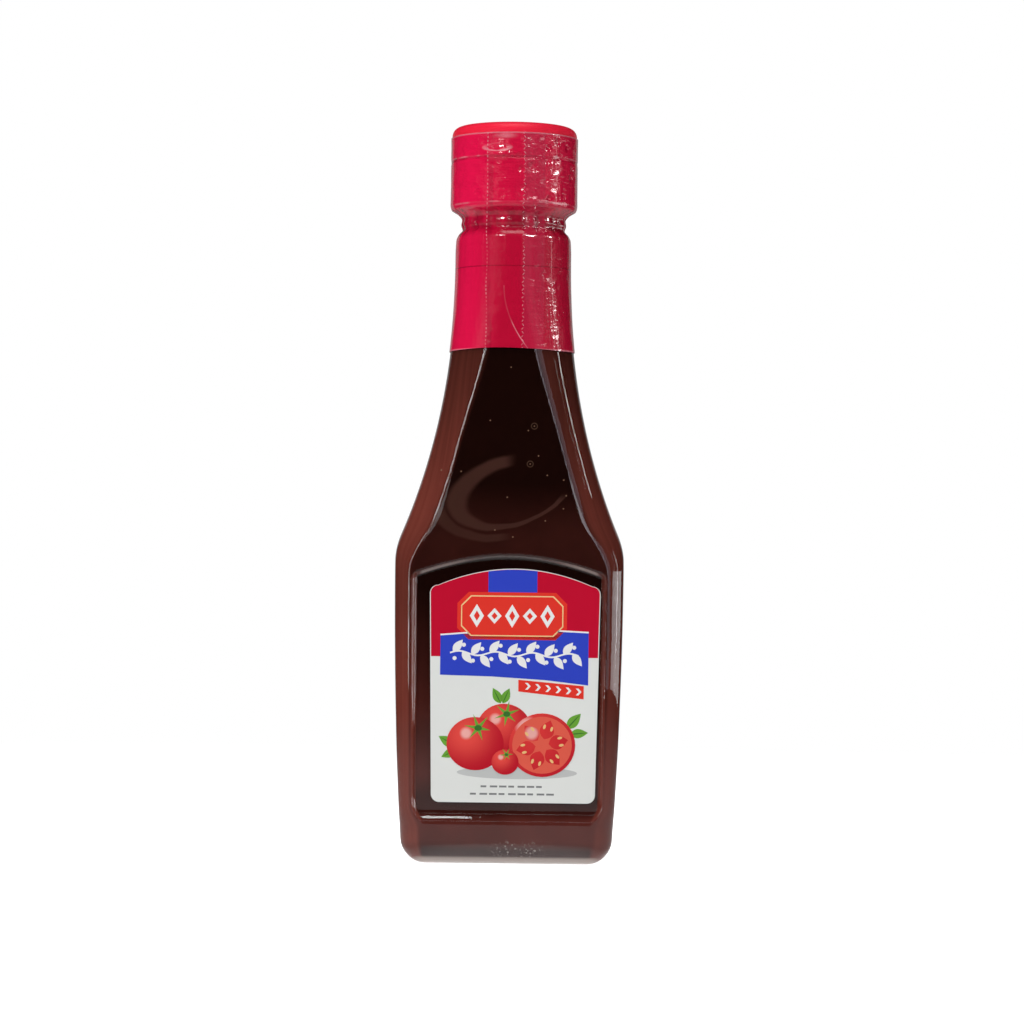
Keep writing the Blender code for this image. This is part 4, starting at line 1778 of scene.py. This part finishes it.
# Labels


@dataclass
class Label:
    """A printed film label in a panel: a film plate with flat fields of print on it as thinner plates."""

    name: str
    node: str
    facing: Facing
    offset: float
    half_top: float = 22.7 * MM
    half_foot: float = 21.8 * MM
    foot_z: float = 16.6 * MM
    corner_z: float = 74.3 * MM
    rise: float = 4.5 * MM
    radius: float = 2.2 * MM
    gap: float = 0.2 * MM
    film: float = 0.12 * MM
    layer: float = 0.01 * MM
    seat: float = 0.02 * MM

    def __post_init__(self) -> None:
        """Starts the mesh and the list of inks."""
        self.mesh = bmesh.new()
        self.inks: list[bpy.types.Material] = []

    def lies_at(self, height: float, stand: float) -> float:
        """Object Y of a place on the label that stands a distance over the film's inner face."""
        taper = (1.0 - height / FORM.body_top_z) * (FORM.body_half_depth - FORM.foot_half_depth)
        return self.facing.value * (FORM.body_half_depth - taper - FORM.panel_depth + self.gap + stand)

    def ink_index(self, ink: Ink | RoundInk) -> int:
        """Finds an ink's material, and makes it on first use.

        Args:
            ink: The ink.

        Returns:
            Its index among the label's materials.
        """
        names = [material.name for material in self.inks]
        if "print_" + ink.name not in names:
            found = bpy.data.materials.get("print_" + ink.name)
            self.inks.append(found or ink.build())
            return len(names)
        return names.index("print_" + ink.name)

    def plate(self, outline: Sequence[Station], ink: Ink | RoundInk, layer: int) -> None:
        """Adds a thin closed plate.

        Args:
            outline: Corners in X and Z, from the label's own middle line.
            ink: Its print.
            layer: 0 for the film, and a higher number for print that lies over other print.
        """
        low = 0.0 if layer == 0 else self.film - self.seat
        high = self.film + self.layer * layer
        made = bmesh.ops.create_circle(self.mesh, cap_ends=True, segments=len(outline), radius=1.0)["verts"]
        made.sort(key=lambda corner: math.atan2(corner.co.y, corner.co.x) % (2.0 * math.pi))
        face = next(iter(set.intersection(*(set(corner.link_faces) for corner in made))))
        for corner, (x, z) in zip(made, outline):
            corner.co = Vector((x + self.offset, self.lies_at(z, low), z))
        grown = bmesh.ops.extrude_face_region(self.mesh, geom=[face])["geom"]
        outer = [corner for corner in grown if isinstance(corner, bmesh.types.BMVert)]
        bmesh.ops.translate(self.mesh, verts=outer, vec=(0.0, self.facing.value * (high - low), 0.0))
        index = self.ink_index(ink)
        for side in {side for corner in outer for side in corner.link_faces} | {face}:
            side.material_index = index

    def outline(self, inset: float = 0.0, foot_z: float | None = None) -> Outline:
        """Draws the label's outline, and cuts it off straight if a foot is given.

        Args:
            inset: How far it is drawn in.
            foot_z: Height of the cut.

        Returns:
            The outline, anticlockwise.
        """
        edge = arched(
            self.half_top - inset, self.half_foot - inset, self.foot_z + inset,
            self.corner_z - inset * 0.6, self.rise - inset * 0.4, self.radius - inset,
        )
        if foot_z is None:
            return edge
        above = [corner for corner in edge if corner[1] > foot_z]
        slope = (self.half_top - self.half_foot) / (self.corner_z - self.foot_z)
        reach = self.half_foot - inset + slope * (foot_z - self.foot_z)
        return [(-reach, foot_z), (reach, foot_z)] + above

    def finish(self) -> None:
        """Makes the object and enters it."""
        label = finished(self.name, self.mesh, sharp=30.0)
        dress(label, *self.inks)
        enter(label, "label_print", self.node)


PAPER = Ink("white_film", (0.80, 0.82, 0.79))
CRIMSON = Ink("crimson", (0.56, 0.004, 0.030))
BLUE = Ink("blue", (0.032, 0.062, 0.56))
SCARLET = Ink("scarlet", (0.80, 0.040, 0.026))
CREAM = Ink("cream", (0.90, 0.62, 0.30))
WHITE = Ink("white", (0.88, 0.88, 0.87))
LEAF = Ink("leaf_green", (0.150, 0.390, 0.045))
DEEP_LEAF = Ink("deep_green", (0.045, 0.170, 0.030))
FLESH = Ink("tomato_flesh", (0.78, 0.115, 0.075))
SEED = Ink("seed", (0.86, 0.55, 0.22))
GREY = Ink("grey", (0.22, 0.23, 0.23))
SHADOW = Ink("soft_grey", (0.56, 0.575, 0.565))


class FrontLabel(Label):
    """The front label: crimson over white, a blue banner, a plain plaque, and tomatoes.

    Each sprig is a leaf: where its stalk is and how long it is in millimetres, and its turn in degrees.
    """

    sprigs: tuple[tuple[float, float, float, float], ...] = (
        (-15.4, 31.5, 5.2, 150.0), (-15.0, 30.5, 4.6, 205.0), (14.2, 36.5, 5.4, 48.0),
        (15.0, 35.0, 4.8, 5.0), (-3.5, 43.0, 4.6, 118.0), (-3.0, 43.0, 4.4, 66.0),
    )

    def plaque(self) -> None:
        """The scarlet plaque over the blue stripe, with a cream line and lozenges."""
        middle = (-0.75 * MM, 66.2 * MM)
        self.plate(clipped(middle, 14.6 * MM, 6.3 * MM, 3.0 * MM), SCARLET, 3)
        self.plate(clipped(middle, 13.6 * MM, 5.4 * MM, 2.6 * MM), CREAM, 4)
        self.plate(clipped(middle, 13.3 * MM, 5.1 * MM, 2.5 * MM), SCARLET, 5)
        for step in range(-2, 3):
            centre = (middle[0] + step * 4.7 * MM, middle[1])
            tall = 3.1 if step % 2 == 0 else 2.1
            self.plate(oval(centre, 1.9 * MM, tall * MM, steps=4), WHITE, 6)
            self.plate(oval(centre, 0.8 * MM, tall * 0.45 * MM, steps=4), SCARLET, 7)

    def banner(self) -> None:
        """The blue banner with a white line on its top and a row of leaves on a wavy stalk."""
        left, right = -19.75 * MM, 19.65 * MM
        top = ((left, 60.9 * MM), (-8.0 * MM, 61.9 * MM), (6.0 * MM, 62.5 * MM), (right, 61.9 * MM))
        foot = ((left, 50.4 * MM), (-6.0 * MM, 50.1 * MM), (8.0 * MM, 49.3 * MM), (right, 48.0 * MM))
        self.plate(list(foot) + list(top[::-1]), BLUE, 3)
        self.plate(strip([(x, z + 0.15 * MM) for x, z in top], 0.42 * MM), WHITE, 4)
        count = 14
        stalk = []
        for step in range(count * 3 + 1):
            share = step / (count * 3.0)
            x = left + 2.6 * MM + share * (right - left - 5.2 * MM)
            stalk.append((x, (56.3 - 0.5 * share + 0.55 * math.sin(share * count * math.pi / 2.0)) * MM))
        self.plate(strip(stalk, 0.45 * MM), WHITE, 4)
        for step in range(count):
            root = stalk[step * 3 + 1]
            up = step % 2 == 0
            self.plate(leaf(root, 4.1 * MM, 2.1 * MM, 52.0 if up else -52.0), WHITE, 5)
            berry = (root[0] + 0.4 * MM, root[1] + (-1.7 if up else 1.7) * MM)
            self.plate(oval(berry, 0.55 * MM, 0.55 * MM, steps=12), WHITE, 5)

    def tag(self) -> None:
        """The small scarlet tag under the banner, with white chevrons."""
        corners = in_mm((1.1, 46.2), (18.5, 44.3), (18.5, 47.8), (1.1, 49.3))
        self.plate(corners, SCARLET, 4)
        for step in range(6):
            x, z = (2.9 + 2.7 * step) * MM, (47.6 - 0.27 * step) * MM
            foot = [(x, z - 0.9 * MM), (x + 0.7 * MM, z - 0.9 * MM), (x + 1.5 * MM, z)]
            head = [(x + 0.7 * MM, z + 0.9 * MM), (x, z + 0.9 * MM), (x + 0.8 * MM, z)]
            self.plate(foot + head, WHITE, 5)

    def tomato(self, name: str, centre: Station, radius: float, layer: int, turn: float) -> None:
        """A whole tomato with a green calyx.

        Args:
            name: Name of its ink.
            centre: Its middle.
            radius: Its radius.
            layer: Layer of its print.
            turn: Turn of its calyx in degrees.
        """
        place = (centre[0] + self.offset, centre[1])
        ink = RoundInk(name, place, radius, (0.80, 0.075, 0.060), (0.50, 0.008, 0.022))
        self.plate(oval(centre, radius, radius * 0.93), ink, layer)
        crown = (centre[0] + 0.1 * radius, centre[1] + 0.55 * radius)
        self.plate(spiked(crown, 0.52 * radius, 0.12 * radius, 6, turn), LEAF, layer + 1)
        self.plate(oval(crown, 0.13 * radius, 0.10 * radius, steps=16), DEEP_LEAF, layer + 2)

    def cut_slice(self, centre: Station, radius: float, layer: int) -> None:
        """A round slice of tomato with six seed chambers.

        Args:
            centre: Its middle.
            radius: Its radius.
            layer: Layer of its lowest print.
        """
        place = (centre[0] + self.offset, centre[1])
        skin = RoundInk("slice_skin", place, radius * 1.5, (0.74, 0.050, 0.045), (0.52, 0.010, 0.024))
        chamber = RoundInk("chamber", place, radius, (0.70, 0.040, 0.040), (0.58, 0.018, 0.028))
        self.plate(oval(centre, radius, radius * 0.96), skin, layer)
        self.plate(oval(centre, radius * 0.9, radius * 0.86), FLESH, layer + 1)
        for step in range(6):
            turn = 60.0 * step + 12.0
            angle = math.radians(turn)
            root = (centre[0] + radius * 0.2 * math.cos(angle), centre[1] + radius * 0.19 * math.sin(angle))
            self.plate(leaf(root, radius * 0.6, radius * 0.44, turn), chamber, layer + 2)
            for side in (-1.0, 1.0):
                aside = angle + 0.2 * side
                out, up = radius * 0.58 * math.cos(aside), radius * 0.56 * math.sin(aside)
                seed = (centre[0] + out, centre[1] + up)
                self.plate(oval(seed, radius * 0.075, radius * 0.04, turn, 12), SEED, layer + 3)

    def artwork(self) -> None:
        """Tomatoes, a slice, sprigs of plain leaves and soft shadows on the white field."""
        self.plate(oval((1.0 * MM, 24.6 * MM), 16.0 * MM, 1.7 * MM), SHADOW, 1)
        for x, z, length, turn in self.sprigs:
            root = (x * MM, z * MM)
            self.plate(leaf(root, length * MM, length * 0.52 * MM, turn), LEAF, 2)
            self.plate(leaf(root, length * 0.92 * MM, length * 0.06 * MM, turn, 5), DEEP_LEAF, 3)
        self.tomato("tomato_back", (-2.6 * MM, 36.2 * MM), 7.2 * MM, 4, 20.0)
        self.tomato("tomato_left", (-10.2 * MM, 32.2 * MM), 7.6 * MM, 7, 50.0)
        self.cut_slice((7.6 * MM, 32.0 * MM), 8.8 * MM, 10)
        self.tomato("tomato_small", (-2.2 * MM, 27.4 * MM), 3.6 * MM, 14, 5.0)

    def fine_lines(self) -> None:
        """Thin broken grey rules at the foot."""
        for z, half, dashes in ((20.9, 8.6, 7), (18.9, 11.4, 9)):
            width = 2.0 * half / dashes
            for step in range(dashes):
                x = -half + step * width
                length = width * (0.80 if step % 3 else 0.62)
                self.plate(strip([(x * MM, z * MM), ((x + length) * MM, z * MM)], 0.5 * MM), GREY, 1)

    def build(self) -> None:
        """Builds and dresses the label."""
        self.plate(self.outline(), PAPER, 0)
        self.plate(self.outline(0.22 * MM, 55.3 * MM), CRIMSON, 1)
        stripe = [(-7.2 * MM, 66.0 * MM), (5.85 * MM, 66.0 * MM)]
        top = self.corner_z + self.rise - 0.3 * MM
        stripe += [
            (5.85 * MM, top - 0.27 * MM), (2.0 * MM, top), (-2.0 * MM, top), (-7.2 * MM, top - 0.45 * MM)
        ]
        self.plate(stripe, BLUE, 2)
        self.plaque()
        self.banner()
        self.tag()
        self.artwork()
        self.fine_lines()
        self.finish()


class BackLabel(Label):
    """The back label: a crimson head, a blue band, and plain grey rules in a box."""

    def build(self) -> None:
        """Builds and dresses the label."""
        self.plate(self.outline(), PAPER, 0)
        self.plate(self.outline(0.22 * MM, 64.0 * MM), CRIMSON, 1)
        self.plate(clipped((0.0, 62.2 * MM), 19.6 * MM, 1.8 * MM, 0.5 * MM), BLUE, 2)
        for row in range(9):
            half = (18.6, 18.0, 18.4, 12.5)[row % 4]
            z = (56.6 - 1.9 * row) * MM
            self.plate(strip([(-18.6 * MM, z), ((2.0 * half - 18.6) * MM, z)], 0.45 * MM), GREY, 1)
        self.plate(clipped((-6.0 * MM, 28.6 * MM), 12.6 * MM, 8.8 * MM, 0.4 * MM), GREY, 1)
        self.plate(clipped((-6.0 * MM, 28.6 * MM), 12.3 * MM, 8.5 * MM, 0.3 * MM), PAPER, 2)
        for row in range(7):
            z = (35.0 - 2.15 * row) * MM
            self.plate(strip([(-17.4 * MM, z), (-8.5 * MM, z)], 0.4 * MM), GREY, 3)
            self.plate(strip([(1.6 * MM, z), (5.2 * MM, z)], 0.4 * MM), GREY, 3)
        middle = (13.4 * MM, 28.6 * MM)
        self.plate(oval(middle, 4.4 * MM, 4.4 * MM), SCARLET, 1)
        self.plate(oval(middle, 3.6 * MM, 3.6 * MM), PAPER, 2)
        for turn in (60.0, 120.0, 270.0):
            self.plate(leaf(middle, 3.0 * MM, 1.7 * MM, turn), LEAF, 3)
        self.finish()


# Studio


WHITE_LIGHT: Colour = (1.0, 1.0, 1.0)


class Reach(Enum):
    """What a lamp's light is seen in: matt surfaces, reflections, or both."""

    MATT = "matt"
    SHINE = "shine"
    BOTH = "both"


def only(piece: str) -> bpy.types.Collection:
    """Makes the collection of what takes the light of lamps that a single piece mirrors.

    Args:
        piece: Name of the piece.

    Returns:
        The collection.
    """
    found = bpy.data.collections.get("only_" + piece)
    if found is None:
        found = bpy.data.collections.new("only_" + piece)
        found.objects.link(bpy.data.objects[piece])
    return found


@dataclass(frozen=True)
class AreaLamp:
    """A soft rectangular lamp, placed round the bottle's axis and pointed at it.

    The bearing is in degrees from the front towards +X, the distance is from the axis, and bright is its
    radiance, so that lamps of other sizes look as bright.
    """

    name: str
    bearing: float
    distance: float
    height: float
    wide: float
    tall: float
    bright: float
    reach: Reach = Reach.SHINE
    colour: Colour = WHITE_LIGHT
    aim_z: float = 0.10
    takes: str = ""

    def build(self) -> None:
        """Makes the lamp."""
        data = bpy.data.lights.new(self.name, "AREA")
        data.shape = "RECTANGLE"
        data.size = self.wide
        data.size_y = self.tall
        data.energy = self.bright * math.pi * self.wide * self.tall
        data.color = self.colour
        lamp = bpy.data.objects.new(self.name, data)
        turn = math.radians(self.bearing)
        stands = Vector((self.distance * math.sin(turn), -self.distance * math.cos(turn), self.height))
        lamp.location = stands
        lamp.rotation_mode = "QUATERNION"
        aim = Vector((0.0, 0.0, self.aim_z)) - stands
        lamp.rotation_quaternion = aim.to_track_quat("-Z", "Y")
        lamp.visible_diffuse = self.reach is not Reach.SHINE
        lamp.visible_glossy = self.reach is not Reach.MATT
        lamp.visible_camera = False
        lamp.visible_transmission = False
        if self.takes:
            lamp.light_linking.receiver_collection = only(self.takes)
        bpy.context.scene.collection.objects.link(lamp)


@dataclass
class Studio:
    """A pale floor, a white surround, soft lamps, and the camera of the photo."""

    camera_at: tuple[float, float, float] = (0.0005, -0.965, 0.070)
    pitch: float = 1.45
    roll: float = 0.71
    lens: float = 124.7
    backdrop: float = 1.0
    floor_glow: float = 1.0
    floor_tones: tuple[Colour, Colour] = ((0.88, 0.88, 0.88), (0.93, 0.93, 0.93))
    floor_edge: Colour = (0.02, 0.02, 0.02)
    # Painted light: the glow that the floor shows in reflections
    reflected_glow_strength: float = 0.55
    floor_fades_from: float = 0.20
    reflected_glow_fades_from: float = 0.06
    bottle_reach: Station = (0.026, 0.048)
    floor_reach: float = 0.75
    ambient: float = 0.25
    dim: float = 0.004
    lamps: tuple[AreaLamp, ...] = (
        AreaLamp("key_left", -42.0, 0.85, 0.45, 0.5, 0.6, 5.0, Reach.MATT),
        AreaLamp("fill_right", 60.0, 0.80, 0.25, 0.3, 0.6, 2.2, Reach.MATT, (0.95, 0.94, 1.0)),
        AreaLamp("fill_back", 172.0, 0.90, 0.40, 0.6, 0.6, 2.0, Reach.MATT),
        AreaLamp("top_soft", 0.0, 0.25, 0.90, 0.5, 0.5, 2.5, Reach.BOTH),
        AreaLamp("line_left", -27.0, 0.90, 0.26, 0.045, 0.62, 9.0, takes="bottle_shell"),
        AreaLamp("thin_left", -23.5, 0.90, 0.26, 0.010, 0.62, 3.5, takes="bottle_shell"),
        AreaLamp("thin_right", 66.0, 0.90, 0.22, 0.012, 0.70, 4.0, takes="bottle_shell"),
        AreaLamp(
            "panel_right", 23.0, 0.90, 0.20, 0.30, 0.70, 0.8, colour=(0.96, 0.86, 1.0), takes="bottle_shell"
        ),
        AreaLamp(
            "band_right", 16.0, 0.91, 0.20, 0.05, 0.70, 1.6, colour=(0.96, 0.88, 1.0), takes="bottle_shell"
        ),
        AreaLamp("line_right", 82.0, 0.90, 0.22, 0.035, 0.70, 12.0, takes="bottle_shell"),
        AreaLamp("film_line", 82.0, 0.90, 0.22, 0.035, 0.70, 2.5, takes="shrink_film"),
        AreaLamp("edge_left", -160.0, 0.90, 0.12, 0.45, 0.60, 0.3),
        AreaLamp("edge_right", 160.0, 0.90, 0.12, 0.45, 0.60, 0.3),
        AreaLamp("window_near", 62.0, 0.85, 0.055, 0.50, 0.17, 3.2, aim_z=0.055),
        AreaLamp("window_side", 95.0, 0.85, 0.055, 0.62, 0.17, 3.2, aim_z=0.055),
        AreaLamp("high_front", 0.0, 0.80, 0.495, 0.60, 0.07, 1.3, takes="bottle_shell"),
        AreaLamp(
            "film_side", 26.0, 0.90, 0.22, 0.30, 0.70, 0.20, colour=(0.96, 0.88, 1.0), takes="shrink_film"
        ),
        AreaLamp("film_glint_far", 80.0, 0.80, 0.50, 0.12, 0.12, 80.0, takes="shrink_film"),
        AreaLamp("film_glint_near", 38.0, 0.80, 0.62, 0.12, 0.12, 80.0, takes="shrink_film"),
        AreaLamp("film_glint_left", -26.0, 0.80, 0.62, 0.10, 0.10, 60.0, takes="shrink_film"),
        AreaLamp("step_glint", -4.3, 0.35, 0.45, 0.025, 0.10, 10.0, takes="bottle_shell"),
    )

    def add_floor(self) -> None:
        """Makes the pale floor, with a painted glow that reflections see, brightest just under the bottle."""
        mesh = bmesh.new()
        bmesh.ops.create_circle(mesh, cap_ends=True, segments=96, radius=self.floor_reach)
        data = bpy.data.meshes.new("floor")
        mesh.to_mesh(data)
        mesh.free()
        floor = bpy.data.objects.new("floor", data)
        bpy.context.scene.collection.objects.link(floor)
        material, graph, shader = new_material("floor_white")
        place = graph.place()
        x, y, _ = graph.split(place)
        speckle = graph.mix(graph.noise(place, 40.0), *self.floor_tones)
        out = graph.apart(x, y, (0.0, 0.0))[0]
        edge = 0.95 * self.floor_reach
        colour = graph.mix(graph.span(out, self.floor_fades_from, edge), speckle, self.floor_edge)
        graph.link(colour, shader.inputs["Base Color"])
        shader.inputs["Roughness"].default_value = 0.7
        shader.inputs["Specular IOR Level"].default_value = 0.1
        shader.inputs["Emission Color"].default_value = (*WHITE_LIGHT, 1.0)
        graph.link(graph.times(graph.seen_directly(), self.floor_glow), shader.inputs["Emission Strength"])
        # Painted light: in reflections the floor glows, brightest just under the bottle
        reflected_glow = graph.node("ShaderNodeEmission")
        under = graph.span(out, *self.bottle_reach, 2.4 * self.reflected_glow_strength, 0.0)
        around = graph.span(out, self.reflected_glow_fades_from, edge, self.reflected_glow_strength, 0.0)
        graph.link(graph.math("MAXIMUM", under, around), reflected_glow.inputs["Strength"])
        graph.shade_apart("Is Glossy Ray", shader.outputs[0], reflected_glow.outputs[0])
        dress(floor, material)

    def add_world(self) -> None:
        """Makes the surround: white to the camera, soft to matt surfaces, and dim in reflections."""
        world = bpy.data.worlds.new("studio")
        world.use_nodes = True
        bpy.context.scene.world = world
        graph = Graph(world.node_tree)
        background = world.node_tree.nodes["Background"]
        seen = graph.seen_directly()
        diffuse = graph.node("ShaderNodeLightPath").outputs["Is Diffuse Ray"]
        shine = graph.times(graph.math("SUBTRACT", 1.0, diffuse), self.dim)
        unseen = graph.math("ADD", graph.times(diffuse, self.ambient), shine)
        unseen = graph.times(unseen, graph.math("SUBTRACT", 1.0, seen))
        level = graph.math("MULTIPLY_ADD", seen, self.backdrop, unseen)
        background.inputs["Color"].default_value = (*WHITE_LIGHT, 1.0)
        graph.link(level, background.inputs["Strength"])

    def add_camera(self) -> None:
        """Makes the camera."""
        data = bpy.data.cameras.new("camera")
        data.sensor_width = 36.0
        data.lens = self.lens
        data.clip_start = 0.01
        camera = bpy.data.objects.new("camera", data)
        camera.location = self.camera_at
        upright = Quaternion((1.0, 0.0, 0.0), math.radians(90.0 + self.pitch))
        camera.rotation_mode = "QUATERNION"
        camera.rotation_quaternion = upright @ Quaternion((0.0, 0.0, 1.0), math.radians(self.roll))
        bpy.context.scene.collection.objects.link(camera)
        bpy.context.scene.camera = camera

    def build(self) -> None:
        """Sets up the whole studio."""
        self.add_floor()
        self.add_world()
        for lamp in self.lamps:
            lamp.build()
        self.add_camera()
        bpy.context.scene.view_settings.view_transform = "Standard"
        bpy.context.scene.view_settings.look = "None"


def main() -> None:
    """Builds the sub-assemblies in order, then the studio."""
    logging.basicConfig(level=logging.INFO, format="%(name)s: %(message)s")
    Bottle().build()
    Filling().build()
    cap = Cap()
    cap.build()
    Sleeve(cap).build()
    FrontLabel("front_label_print", "front_label", Facing.FRONT, 1.65 * MM).build()
    BackLabel("back_label_print", "back_label", Facing.BACK, 0.0).build()
    Studio().build()


if __name__ == "__main__":
    main()
